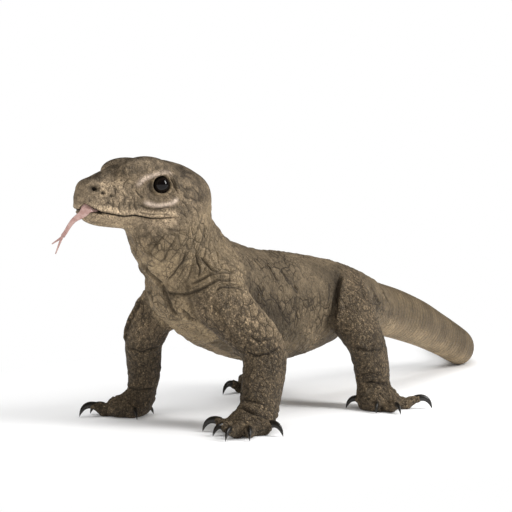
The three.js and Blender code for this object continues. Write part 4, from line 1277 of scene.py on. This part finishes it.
class Shader(NodeTree):
    """A material under construction."""

    def __init__(self, name: str) -> None:
        """Starts an empty material.

        Args:
            name: the material's name.
        """
        self.material = bpy.data.materials.new(name)
        self.material.use_nodes = True
        super().__init__(self.material.node_tree)
        self.nodes.clear()

    def attribute(self, name: str) -> Signal:
        """A float attribute of the mesh."""
        return Signal(self, self.node("ShaderNodeAttribute", {"attribute_name": name}).outputs["Fac"])

    def object_place(self, scale: tuple = (1, 1, 1)) -> bpy.types.NodeSocket:
        """Object coordinates, stretched by a scale."""
        place = self.node("ShaderNodeTexCoord").outputs["Object"]
        return self.node("ShaderNodeMapping", inputs={"Vector": place, "Scale": scale}).outputs[0]

    def noise(self, vector: bpy.types.NodeSocket, scale: float, detail: float = 3.0, rough: float = 0.5) -> Signal:
        """Noise from 0 to 1."""
        names = {"Vector": vector, "Scale": scale, "Detail": detail, "Roughness": rough}
        return Signal(self, self.node("ShaderNodeTexNoise", inputs=names).outputs["Fac"])

    def warped(self, vector: bpy.types.NodeSocket, scale: float, amount: float) -> bpy.types.NodeSocket:
        """A place moved about by noise.

        Args:
            vector: the place.
            scale: of the noise.
            amount: how far the place is moved.

        Returns:
            The moved place.
        """
        names = {"Vector": vector, "Scale": scale, "Detail": 2.0}
        push = self.node("ShaderNodeTexNoise", inputs=names).outputs["Color"]
        kind, middle = "ShaderNodeVectorMath", (0.5, 0.5, 0.5)
        centred = self.node(kind, {"operation": "SUBTRACT"}, {0: push, 1: middle}).outputs[0]
        scaled = self.node(kind, {"operation": "SCALE"}, {0: centred, "Scale": amount}).outputs[0]
        return self.node(kind, {"operation": "ADD"}, {0: vector, 1: scaled}).outputs[0]

    def cell_edge(self, vector: bpy.types.NodeSocket, scale: float) -> Signal:
        """Distance to the edge of the nearest cell, in cell sizes."""
        node = self.node("ShaderNodeTexVoronoi", {"feature": "DISTANCE_TO_EDGE"}, {"Vector": vector, "Scale": scale})
        return Signal(self, node.outputs["Distance"])

    def cell_tone(self, vector: bpy.types.NodeSocket, scale: float) -> Signal:
        """A random value for each of the same cells."""
        node = self.node("ShaderNodeTexVoronoi", {"feature": "F1"}, {"Vector": vector, "Scale": scale})
        return Signal(self, self.node("ShaderNodeSeparateColor", inputs={0: node.outputs["Color"]}).outputs[0])

    def blend(self, share: object, first: object, second: object, kind: str = "MIX") -> bpy.types.NodeSocket:
        """A colour between two others."""
        node = self.node("ShaderNodeMix", {"data_type": "RGBA", "blend_type": kind}, {0: share, 6: first, 7: second})
        return node.outputs[2]

    def grey(self, value: Signal) -> bpy.types.NodeSocket:
        """A value as a grey colour."""
        names = {"Red": value, "Green": value, "Blue": value}
        return self.node("ShaderNodeCombineColor", inputs=names).outputs[0]

    def finish(self, **inputs: object) -> bpy.types.Material:
        """Closes the material with a Principled shader; underscores in the names stand for spaces.

        Args:
            inputs: what feeds the shader, by input name.

        Returns:
            The material.
        """
        named = {key.replace("_", " "): value for key, value in inputs.items()}
        shader = self.node("ShaderNodeBsdfPrincipled", inputs=named)
        self.node("ShaderNodeOutputMaterial", inputs={"Surface": shader.outputs[0]})
        return self.material


@dataclass(frozen=True)
class Hide:
    """Grey-brown scaly hide, paler on lips and lids and darker and beaded on the legs."""

    back: tuple = (0.168, 0.125, 0.076, 1)
    neck: tuple = (0.276, 0.205, 0.123, 1)
    head: tuple = (0.202, 0.150, 0.094, 1)
    leg: tuple = (0.205, 0.149, 0.089, 1)
    # paler colour for skin that faces down: painted light in the shade under the body
    under: tuple = (0.540, 0.402, 0.238, 1)
    tail: tuple = (0.156, 0.113, 0.064, 1)
    lip: tuple = (0.560, 0.424, 0.278, 1)
    ridge: tuple = (0.700, 0.555, 0.440, 1)
    lid: tuple = (0.270, 0.200, 0.120, 1)
    # the hide's cracks, wrinkles and specks, and painted shade in creases, along folds and in the eye socket
    dark: tuple = (0.030, 0.021, 0.013, 1)
    # painted shadow in the mouth's line, its notch, the nostrils, the pits and the edge of the lids' opening
    black: tuple = (0.008, 0.006, 0.004, 1)
    scale_count: float = 430.0  # scales in a metre
    cushion_count: float = 98.0
    wrinkle_count: float = 205.0
    broad_count: float = 30.0  # blots of the mottling in a metre, from broad to speck
    blotch_count: float = 85.0
    fine_count: float = 190.0
    speck_count: float = 520.0
    ring_turns: float = 660.0  # of the tail's rings, in radians a metre
    depth: float = 0.0018  # of what only the light shows, in metres

    def build(self) -> bpy.types.Material:
        """Makes the material.

        Returns:
            The material.
        """
        sh = Shader("komodo_hide")
        names = ("head", "neck", "leg", "low", "under", "tail", "top", "painted_shade", "rim")
        head, neck, leg, low, under, tail, top, painted_shade, rim = (sh.attribute(n) for n in names)
        names = ("lip", "ridge", "crease", "line", "pit", "gape")
        lip, ridge, crease, groove_lines_and_socket_shade, pit, gape = (sh.attribute(n) for n in names)
        place = sh.object_place()
        colour = sh.blend(tail, self.back, self.tail)
        colour = sh.blend(neck, colour, self.neck)
        colour = sh.blend(head, colour, self.head)
        # painted light: skin that faces down is paler
        colour = sh.blend(under * 0.6, colour, self.under)
        colour = sh.blend(leg, colour, self.leg)
        colour = sh.blend(lip * 0.85, colour, self.lip)
        # broad and fine mottling
        broad = sh.noise(place, self.broad_count, 4.0, 0.6)
        fine = sh.noise(place, self.fine_count, 4.0, 0.6)
        blotch = sh.noise(place, self.blotch_count, 3.0, 0.55)
        shade = broad.span(0.3, 0.7, 0.78, 1.2) * (1.0 + (fine - 0.5) * (0.6 + head * 0.5))
        shade = shade * (1.0 - head * (1.0 - lip) * (1.0 - blotch.span(0.36, 0.6, 0.60, 1.22)))
        shade = shade * (1.0 - top * (0.08 + head * 0.44)) * (1.0 - low * 0.40)
        # painted shade behind the arm and before the thigh; painted light on the upper arms' rear outer faces
        shade = shade * (1.0 - painted_shade * 0.5) * (1.0 + rim * 0.55)
        # scales, each with its own tone, parted by dark gaps
        bent = sh.warped(sh.object_place((1.0, 1.2, 0.9)), 80.0, 0.0015)
        tone = sh.cell_tone(bent, self.scale_count)
        gaps = sh.cell_edge(bent, self.scale_count)
        shade = shade * (1.0 + (tone - 0.5) * (0.36 + leg * 0.7 + head * 0.14))
        shade = shade * (1.0 + leg * tone.span(0.86, 0.97) * 0.3)
        gap = 1.0 - gaps.span(0.0, 0.15)
        dome = gaps.span(0.0, 0.4)
        # cushions of skin parted by cracks, with finer wrinkles inside them
        large = sh.warped(sh.object_place((1.0, 1.2, 0.80)), 45.0, 0.0065)
        cushion = sh.cell_edge(large, self.cushion_count)
        small = sh.warped(sh.object_place((1.0, 1.25, 0.75)), 80.0, 0.0040)
        wrinkle = sh.cell_edge(small, self.wrinkle_count)
        rough_skin = (1.0 - head * 0.5) * (1.0 - tail * 0.75) * (1.0 - leg * 0.2)
        cracked = sh.noise(place, 26.0, 2.0).span(0.40, 0.60, 0.05, 1.0)
        crack = (1.0 - cushion.span(0.01, 0.09)) * (1.0 - neck * 0.25) * cracked * rough_skin
        line = (1.0 - wrinkle.span(0.01, 0.14)) * sh.noise(place, 50.0, 2.0).span(0.38, 0.62) * rough_skin
        shade = shade * (1.0 + (sh.cell_tone(large, self.cushion_count) - 0.5) * 0.26 * rough_skin)
        # named folds as narrow dark lines: painted shade along each fold
        side = sh.attribute("fold_side")
        fold_line_shade = (1.0 - (side * side).span(0.1, 1.3)) * sh.attribute("fold_near").span(3.0, 5.0, 1.0, 0.0)
        fold_line_shade = fold_line_shade * sh.attribute("fold_deep").span(0.0, 0.75) * (1.0 - neck * 0.15)
        # the mouth's line painted black: painted shadow in the slit between the lips
        off = sh.attribute("mouth_off")
        mouth = (1.0 - (off * off).span(0.1, 1.2)) * sh.attribute("mouth_deep")
        # rings of the tail
        turn = sh.attribute("along") * self.ring_turns + sh.noise(place, 16.0, 3.0) * 9.0
        groove = turn.sine().span(0.3, 1.0) * tail
        shade = shade * (1.0 - groove * 0.26) * (1.0 - gap * (0.28 + leg * 0.3))
        colour = sh.blend(1.0, colour, sh.grey(shade), "MULTIPLY")
        round_eye = sh.attribute("lid")
        soft = fine.span(0.25, 0.75, 0.86, 1.06)
        lids = sh.blend(1.0, self.lid, sh.grey(soft), "MULTIPLY")
        colour = sh.blend(round_eye.span(9.6, 15.5, 0.85, 0.0), colour, lids)
        pale = sh.blend(1.0, self.ridge, sh.grey(soft), "MULTIPLY")
        colour = sh.blend((ridge * 1.15).least(1.0) * 0.88, colour, pale)
        speck = sh.noise(place, self.speck_count, 2.0).span(0.55, 0.64) * broad.span(0.35, 0.6, 0.35, 1.0)
        speck = speck * head * (1.0 - ridge)
        # dark lines: cracks, wrinkle lines and specks of the hide, dark grooves about the eye, and painted shade in
        # the creases, along the named folds and in the socket's front corner
        lines = (crack * 0.85).most(line * 0.6).most(crease.span(0.1, 0.9) * 0.65).most(fold_line_shade * 0.85)
        lines = lines.most(groove_lines_and_socket_shade.span(0.15, 0.9) * 0.7).most(speck * 0.62)
        colour = sh.blend(lines.least(0.9), colour, self.dark)
        # the edge of the lids' opening painted black: painted shadow where the lids meet the ball
        lid_edge_shade = round_eye.span(9.2, 10.1, 1.0, 0.0)
        # black: painted shadow in the mouth, its notch, the nostrils, the pits and round the eye's opening
        black_shade = (mouth * 0.96).most(pit).most(gape * 0.97).most(lid_edge_shade)
        colour = sh.blend(black_shade.least(0.97), colour, self.black)
        height = dome * (0.30 + leg * 0.25) + fine * 0.25 + cushion.span(0.0, 0.36) * (0.9 + neck * 0.6) * rough_skin
        height = height + wrinkle.span(0.0, 0.3) * 0.40 * rough_skin - groove * 0.7 - fold_line_shade * 1.2 - crack * 0.5
        bump = sh.node("ShaderNodeBump", inputs={"Strength": 1.0, "Distance": self.depth, "Height": height})
        rough = fine.span(0.2, 0.8, 0.58, 0.78)
        return sh.finish(Base_Color=colour, Roughness=rough, Normal=bump.outputs[0], Specular_IOR_Level=0.3)


@dataclass(frozen=True)
class Horn:
    """Black-brown claw horn with faint streaks."""

    dark: tuple = (0.010, 0.008, 0.006, 1)
    worn: tuple = (0.060, 0.048, 0.036, 1)

    def build(self) -> bpy.types.Material:
        """Makes the material.

        Returns:
            The material.
        """
        sh = Shader("claw_horn")
        streaks = sh.noise(sh.object_place((1, 1, 0.25)), 900.0, 3.0, 0.6)
        colour = sh.blend(streaks.span(0.55, 0.85), self.dark, self.worn)
        bump = sh.node("ShaderNodeBump", inputs={"Strength": 0.35, "Distance": 0.0003, "Height": streaks})
        return sh.finish(Base_Color=colour, Roughness=streaks.span(0.2, 0.8, 0.26, 0.42), Normal=bump.outputs[0])


@dataclass(frozen=True)
class WetEye:
    """A near-black wet eye, a little browner round the pupil."""

    pupil: tuple = (0.004, 0.003, 0.003, 1)
    iris: tuple = (0.007, 0.005, 0.004, 1)

    def build(self) -> bpy.types.Material:
        """Makes the material.

        Returns:
            The material.
        """
        sh = Shader("wet_eye")
        out = sh.attribute("from_axis")
        speckle = sh.noise(sh.object_place(), 1500.0, 3.0)
        colour = sh.blend(out.span(0.45, 0.7) * speckle.span(0.2, 0.6, 0.5, 1.0), self.pupil, self.iris)
        return sh.finish(Base_Color=colour, Roughness=0.02, Specular_IOR_Level=0.26)


@dataclass(frozen=True)
class TongueFlesh:
    """Moist pink flesh."""

    pink: tuple = (0.360, 0.212, 0.186, 1)
    pale: tuple = (0.470, 0.318, 0.282, 1)

    def build(self) -> bpy.types.Material:
        """Makes the material.

        Returns:
            The material.
        """
        sh = Shader("tongue_flesh")
        mottle = sh.noise(sh.object_place(), 260.0, 3.0)
        colour = sh.blend(mottle.span(0.35, 0.7), self.pink, self.pale)
        bump = sh.node("ShaderNodeBump", inputs={"Strength": 0.4, "Distance": 0.0003, "Height": mottle})
        return sh.finish(Base_Color=colour, Roughness=mottle.span(0.2, 0.8, 0.32, 0.46), Normal=bump.outputs[0])


@dataclass(frozen=True)
class PaleFloor:
    """A plain pale studio floor that turns into plain white light away from the animal."""

    tone: tuple = (0.90, 0.90, 0.90, 1)
    half_wide: float = 0.42  # of the oval round the animal that stays matt
    half_long: float = 0.72
    near: float = 0.62
    far: float = 1.25

    def build(self) -> bpy.types.Material:
        """Makes the material.

        Returns:
            The material.
        """
        sh = Shader("pale_floor")
        place = sh.object_place((1 / self.half_wide, 1 / self.half_long, 1.0))
        away = Signal(sh, sh.node("ShaderNodeVectorMath", {"operation": "LENGTH"}, {0: place}).outputs["Value"])
        names = {"Base Color": self.tone, "Roughness": 0.8, "Specular IOR Level": 0.1}
        matt = sh.node("ShaderNodeBsdfPrincipled", inputs=names)
        lit = sh.node("ShaderNodeEmission", inputs={"Color": (1, 1, 1, 1), "Strength": 1.0})
        share = away.span(self.near, self.far)
        mixed = sh.node("ShaderNodeMixShader", inputs={0: share, 1: matt.outputs[0], 2: lit.outputs[0]})
        sh.node("ShaderNodeOutputMaterial", inputs={"Surface": mixed.outputs[0]})
        return sh.material


# ------------------------------------------------------------------ pieces


def mesh_piece(name: str, points: np.ndarray, faces: list, material: bpy.types.Material) -> bpy.types.Object:
    """A smooth-shaded object at the origin from points in the animal's axes.

    Args:
        name: the piece's name.
        points: vertices, millimetres.
        faces: vertex numbers of each face, turning so that they face outwards.
        material: its finish.

    Returns:
        The object, linked to the scene.
    """
    data = bpy.data.meshes.new(name)
    data.from_pydata(to_shared(points).tolist(), [], faces)
    data.validate()
    data.shade_smooth()
    data.materials.append(material)
    return linked_object(name, data)


def keep_values(piece: bpy.types.Object, name: str, values: np.ndarray) -> None:
    """Keeps one value for each vertex, as an attribute that a finish reads."""
    layer = piece.data.attributes.new(name, "FLOAT", "POINT")
    layer.data.foreach_set("value", values.astype(np.float32))


def loft(rings: list) -> tuple[np.ndarray, list]:
    """Joins rings of points of one length into a tube with a point at either end.

    Args:
        rings: arrays of points, in order.

    Returns:
        Points and faces, facing outwards for rings that turn clockwise as seen from the last ring.
    """
    count = len(rings[0])
    points = [p for ring in rings for p in ring]
    faces = []
    for r in range(len(rings) - 1):
        for k in range(count):
            n = (k + 1) % count
            faces.append([r * count + k, r * count + n, (r + 1) * count + n, (r + 1) * count + k])
    for base, end, flip in ((0, rings[0], True), ((len(rings) - 1) * count, rings[-1], False)):
        middle = len(points)
        points.append(np.mean(end, axis=0))
        for k in range(count):
            n = (k + 1) % count
            faces.append([base + n, base + k, middle] if flip else [base + k, base + n, middle])
    return np.array(points), faces


def point_outwards(piece: bpy.types.Object) -> None:
    """Turns every face of a closed piece outwards.

    Args:
        piece: an object with a closed mesh.
    """
    work = bmesh.new()
    work.from_mesh(piece.data)
    bmesh.ops.recalc_face_normals(work, faces=work.faces)
    work.to_mesh(piece.data)
    work.free()


@dataclass
class Skin:
    """The one skin that stands for every node of flesh."""

    view: View
    cell: float = 6.6
    finish: Hide = field(default_factory=Hide)

    def nodes(self) -> list[str]:
        """The solids that the skin stands for."""
        kept = ("claw_", "eye_", "tongue")
        return [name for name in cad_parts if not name.startswith(kept)]

    @staticmethod
    def close_up(middles: np.ndarray) -> np.ndarray:
        """Where the mesh is split once: all but the underside and the far end of the tail."""
        x, y, z = middles.T
        return (y < TAIL_START) & ((z > 78) | (np.abs(x) > 60)) | (z > 20) & (y < 400)

    @staticmethod
    def closer(middles: np.ndarray) -> np.ndarray:
        """Where the mesh is split twice, beside the folds: head, hands and feet.

        Args:
            middles: N middles of faces.

        Returns:
            N answers.
        """
        s, _, z = head_axes(middles)
        head = (s < 138) & (z > 222)
        paws = (z < 24) & (middles[:, 1] < TAIL_START) & (np.abs(middles[:, 0]) > 50)
        return head | paws

    @staticmethod
    def features(middles: np.ndarray) -> np.ndarray:
        """Where the mesh is split once more: round the eyes, along the mouth and on the snout.

        Args:
            middles: N middles of faces.

        Returns:
            N answers.
        """
        s, w, z = head_axes(middles)
        eye = np.hypot(s - EYE_S, z - EYE_Z) < 16
        mouth = (np.abs(z - np.interp(s, *np.array(MOUTH).T)) < 3.5) & (s < 96)
        tongue_door = (s < 24) & (np.abs(z - 252) < 8)
        snout = (s < 32) & (z > 262) & (z < 279)
        return (eye | mouth | tongue_door | snout) & (np.abs(w) > 4) & (z > 230)

    def build(self) -> bpy.types.Object:
        """Meshes, folds and dresses the skin.

        Returns:
            The skin.
        """
        mesh = SkinMesh(Flesh(), self.cell)
        LOG.info("skin net: %d faces", len(mesh.faces))
        mesh.refine(self.close_up)
        creases = Creases(mesh, self.view)
        mesh.refine(lambda middles: self.closer(middles) | creases.near(middles))
        mesh.refine(self.features)
        LOG.info("skin refined: %d triangles", sum(len(face) - 2 for face in mesh.faces))
        relief = Relief(mesh)
        relief.regions()
        relief.folds(creases)
        relief.wrinkles()
        relief.face()
        relief.apply()
        piece = mesh_piece("skin", relief.points, mesh.faces, self.finish.build())
        for name, values in relief.masks.items():
            keep_values(piece, name, values)
        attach(piece, "root")
        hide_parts(*self.nodes())
        return piece


@dataclass
class Eyes:
    """The two eyeballs, sunk in their sockets."""

    radius: float = EYE_RADIUS
    segments: int = 48
    rings: int = 32
    finish: WetEye = field(default_factory=WetEye)

    def build(self) -> list[bpy.types.Object]:
        """Makes both eyes."""
        material = self.finish.build()
        return [self._ball(side, material) for side in Side]

    def _ball(self, side: Side, material: bpy.types.Material) -> bpy.types.Object:
        """One eyeball with its pole facing out of the head.

        Args:
            side: the side of the head.
            material: its finish.

        Returns:
            The eyeball.
        """
        out = np.array(on_head(0, side.value, 0)) - np.array(on_head(0, 0, 0))
        up = np.array((0.0, 0.0, 1.0))
        across = np.cross(out, up)
        turn = np.linspace(0, 2 * math.pi, self.segments, endpoint=False)
        rings, share = [], []
        for tilt in np.linspace(0.02, math.pi - 0.02, self.rings):
            circle = np.outer(np.cos(turn), up) + np.outer(np.sin(turn), across)
            rings.append(self.radius * (math.cos(tilt) * out + math.sin(tilt) * circle))
            share += [math.sin(tilt) if tilt < math.pi / 2 else 1.0] * self.segments
        points, faces = loft(rings)
        share += [0.0, 1.0]
        name = "eyeball_left" if side is Side.LEFT else "eyeball_right"
        piece = mesh_piece(name, points + np.array(on_head(EYE_S, side.value * EYE_W, EYE_Z)), faces, material)
        point_outwards(piece)
        keep_values(piece, "from_axis", np.array(share))
        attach(piece, "root")
        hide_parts("eye_left" if side is Side.LEFT else "eye_right")
        return piece


@dataclass
class Claws:
    """Twenty curved claws, each drawn along its own arc by one node tree."""

    sides: int = 14
    steps: int = 18
    flatness: float = 0.74
    # Share of a claw's length, and of its girth there.
    taper: tuple = ((0.0, 1.0), (0.3, 0.86), (0.6, 0.60), (0.85, 0.29), (1.0, 0.05))
    finish: Horn = field(default_factory=Horn)

    def tree(self, material: bpy.types.Material) -> bpy.types.NodeTree:
        """The node tree: an arc through three points, swept with a tapering section.

        Args:
            material: the finish that it sets.

        Returns:
            The node tree.
        """
        tree = bpy.data.node_groups.new("claw_sweep", "GeometryNodeTree")
        tree.interface.new_socket("Geometry", in_out="OUTPUT", socket_type="NodeSocketGeometry")
        for name in ("Root", "Crest", "Tip"):
            tree.interface.new_socket(name, in_out="INPUT", socket_type="NodeSocketVector")
        tree.interface.new_socket("Half Height", in_out="INPUT", socket_type="NodeSocketFloat")
        work = NodeTree(tree)
        given = work.node("NodeGroupInput").outputs
        ends = {"Start": given["Root"], "Middle": given["Crest"], "End": given["Tip"], "Resolution": self.steps}
        arc = work.node("GeometryNodeCurveQuadraticBezier", inputs=ends).outputs[0]
        upright = work.node("GeometryNodeSetCurveNormal", {"mode": "Z_UP"}, {"Curve": arc}).outputs["Curve"]
        share = work.node("GeometryNodeSplineParameter").outputs["Factor"]
        taper = work.node("ShaderNodeFloatCurve", inputs={"Value": share})
        curve = taper.mapping.curves[0]
        curve.points[0].location, curve.points[1].location = self.taper[0], self.taper[-1]
        for x, y in self.taper[1:-1]:
            curve.points.new(x, y)
        taper.mapping.update()
        girths = {0: taper.outputs[0], 1: given["Half Height"]}
        girth = work.node("ShaderNodeMath", {"operation": "MULTIPLY"}, girths).outputs[0]
        sized = work.node("GeometryNodeSetCurveRadius", inputs={"Curve": upright, "Radius": girth}).outputs["Curve"]
        ring = work.node("GeometryNodeCurvePrimitiveCircle", inputs={"Resolution": self.sides, "Radius": 1.0})
        flat = {"Geometry": ring.outputs["Curve"], "Scale": (self.flatness, 1.0, 1.0)}
        section = work.node("GeometryNodeTransform", inputs=flat).outputs[0]
        swept = {"Curve": sized, "Profile Curve": section, "Scale": girth, "Fill Caps": True}
        sweep = work.node("GeometryNodeCurveToMesh", inputs=swept)
        real = work.node("GeometryNodeRealizeInstances", inputs={0: sweep.outputs[0]})
        dress = work.node("GeometryNodeSetMaterial", inputs={"Geometry": real.outputs[0], "Material": material})
        work.node("NodeGroupOutput", inputs={0: dress.outputs[0]})
        return tree

    def build(self) -> list[bpy.types.Object]:
        """Makes the claws of all four feet.

        Returns:
            The claws.
        """
        tree = self.tree(self.finish.build())
        return [self._claw(paw, i, tree) for paw in PAWS for i in range(len(paw.tips))]

    def _claw(self, paw: Paw, i: int, tree: bpy.types.NodeTree) -> bpy.types.Object:
        """One claw, from inside its toe to its point just over the floor.

        Args:
            paw: the hand or foot.
            i: the toe's number, from 0.
            tree: the node tree that sweeps and dresses it.

        Returns:
            The claw.
        """
        out, end = paw.toe_end(i)
        root = end - out * 5.0
        crest = end + out * (paw.claw[i] * 0.66 - 1.0)
        crest[2] = end[2] + CLAW_ARCH * paw.claw[i] + 0.8
        tip = np.array([*paw.tips[i], CLAW_CLEARANCE])
        holder = linked_object("claw_holder", bpy.data.meshes.new("claw_holder"))
        modifier = holder.modifiers.new("sweep", "NODES")
        modifier.node_group = tree
        sockets = {item.name: item.identifier for item in tree.interface.items_tree if item.in_out == "INPUT"}
        for name, place in (("Root", root), ("Crest", crest), ("Tip", tip)):
            modifier[sockets[name]] = tuple(to_shared(place))
        modifier[sockets["Half Height"]] = CLAW_ROOT * math.sqrt(paw.claw[i] / LONG_CLAW) / 1000.0
        ready = holder.evaluated_get(bpy.context.evaluated_depsgraph_get())
        data = bpy.data.meshes.new_from_object(ready)
        bpy.data.objects.remove(holder)
        data.shade_smooth()
        piece = linked_object(f"horn_{paw.name}_{i + 1}", data)
        point_outwards(piece)
        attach(piece, "root")
        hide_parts(f"claw_{paw.name}_{i + 1}")
        return piece


@dataclass
class Tongue:
    """The forked tongue: a flat ribbon of flesh that parts in two."""

    stem: tuple = (
        (20, 10, 252), (8, 12.2, 253.3), (0.5, 12, 245.7), (-9, 10.5, 239.1), (-14.5, 10, 232.5), (-18, 9.8, 227),
        (-22, 9.5, 221.6),
    )
    tips: tuple = ((-33, 6, 213.5), (-31, 11, 203))
    half_widths: tuple = (4.5, 7.0, 4.4, 2.9, 2.4, 2.3, 2.4)  # at each place of the stem
    half_thick: float = 1.5
    face: tuple = (0.706, -0.532, 0.379)  # where its rolled upper side faces
    finish: TongueFlesh = field(default_factory=TongueFlesh)

    def _strand(self, stations: tuple, widths: tuple, thick: float, taper: float) -> tuple[np.ndarray, list]:
        """One strand of the ribbon.

        Args:
            stations: places on the head.
            widths: a half width at each.
            thick: half of its thickness at its root.
            taper: share of that at its end.

        Returns:
            Points and faces.
        """
        line = spline(np.array([on_head(*q) for q in stations]), np.linspace(0, 1, 26))
        tangent = unit(np.gradient(line, axis=0))
        across = unit(np.cross(tangent, self.face))
        tall = unit(np.cross(across, tangent))
        turn = np.linspace(0, 2 * math.pi, 16, endpoint=False)
        rings = []
        for i, at in enumerate(line):
            t = i / (len(line) - 1)
            wide = np.interp(t * (len(widths) - 1), np.arange(len(widths)), widths)
            high = thick * (1 + (taper - 1) * t)
            dip = 1 - 0.35 * np.maximum(np.sin(turn), 0) ** 4
            rings.append(at + wide * np.outer(np.cos(turn), across[i]) + high * np.outer(np.sin(turn) * dip, tall[i]))
        return loft(rings)

    def build(self) -> bpy.types.Object:
        """Makes the tongue.

        Returns:
            The tongue.
        """
        material = self.finish.build()
        strands = [self._strand(self.stem, self.half_widths, self.half_thick, 0.8)]
        for tip in self.tips:
            strands.append(self._strand((*self.stem[-2:], tip), (1.8, 1.6, 0.6), 1.25, 0.4))
        points, faces, base = [], [], 0
        for part, part_faces in strands:
            points.append(part)
            faces += [[v + base for v in f] for f in part_faces]
            base += len(part)
        piece = mesh_piece("forked_tongue", np.vstack(points), faces, material)
        point_outwards(piece)
        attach(piece, "root")
        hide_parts("tongue")
        return piece


@dataclass
class Studio:
    """Plain floor and soft light."""

    floor_half: float = 9.0
    fill: float = 0.32
    aim: tuple = (0.0, -0.15, 0.15)  # what the lights look at
    # Two lights: share to the right, up and toward the camera, distance, size and watts.
    key: tuple = ((0.756, 0.504, 0.411), 1.9, (0.5, 1.3), 37.0)
    front: tuple = ((-0.55, 0.35, 0.76), 2.3, (1.8, 1.8), 19.0)
    overhead: tuple = ((0.1, 0.0, 2.6), (2.4, 2.4), 44.0)  # place, size and watts
    finish: PaleFloor = field(default_factory=PaleFloor)

    def build(self, view: View) -> None:
        """Lays the floor and hangs the lights.

        Args:
            view: the main camera, which the lights go by.
        """
        h = self.floor_half
        data = bpy.data.meshes.new("floor")
        data.from_pydata([(-h, -h, 0), (h, -h, 0), (h, h, 0), (-h, h, 0)], [], [(0, 1, 2, 3)])
        data.materials.append(self.finish.build())
        floor = linked_object("floor", data)
        self._world()
        right, up, forward = view.axes()
        aim = np.array(self.aim)
        for name, (share, distance, size, watts) in (("key", self.key), ("front", self.front)):
            place = aim + distance * unit(share[0] * right + share[1] * up - share[2] * forward)
            self._area(name, place, size, watts, name == "key")
        place, size, watts = self.overhead
        self._area("overhead", np.array(place), size, watts, False)
        bpy.context.scene.view_settings.view_transform = "Standard"

    def _world(self) -> None:
        """White where it is seen, and a dimmer fill where it lights the animal."""
        world = bpy.data.worlds.new("studio")
        world.use_nodes = True
        work = NodeTree(world.node_tree)
        work.nodes.clear()
        white = (1, 1, 1, 1)
        seen = work.node("ShaderNodeBackground", inputs={"Color": white, "Strength": 1.0})
        fill = work.node("ShaderNodeBackground", inputs={"Color": white, "Strength": self.fill})
        direct = work.node("ShaderNodeLightPath").outputs["Is Camera Ray"]
        mixed = work.node("ShaderNodeMixShader", inputs={0: direct, 1: fill.outputs[0], 2: seen.outputs[0]})
        work.node("ShaderNodeOutputWorld", inputs={"Surface": mixed.outputs[0]})
        bpy.context.scene.world = world
        world.cycles_visibility.glossy = False

    def _area(self, name: str, place: np.ndarray, size: tuple, watts: float, mirrored: bool) -> None:
        """One soft light that looks at the animal.

        Args:
            name: its name.
            place: where it hangs.
            size: how wide and tall it is.
            watts: its power.
            mirrored: whether gloss shows it.
        """
        data = bpy.data.lights.new(name, "AREA")
        data.shape = "RECTANGLE"
        data.size, data.size_y = size
        data.energy = watts
        lamp = linked_object(name, data)
        lamp.visible_glossy = mirrored
        lamp.location = Vector(place)
        lamp.rotation_euler = Vector(np.array(self.aim) - place).to_track_quat("-Z", "Y").to_euler()


def main() -> None:
    """Builds the animal piece by piece."""
    logging.basicConfig(level=logging.INFO, format="%(message)s")
    view = View()
    view.build()
    Studio().build(view)
    skin = Skin(view).build()
    LOG.info("skin: %d vertices", len(skin.data.vertices))
    LOG.info("eyes: %d", len(Eyes().build()))
    LOG.info("claws: %d", len(Claws().build()))
    LOG.info("tongue: %s", Tongue().build().name)


if __name__ == "__main__":
    main()
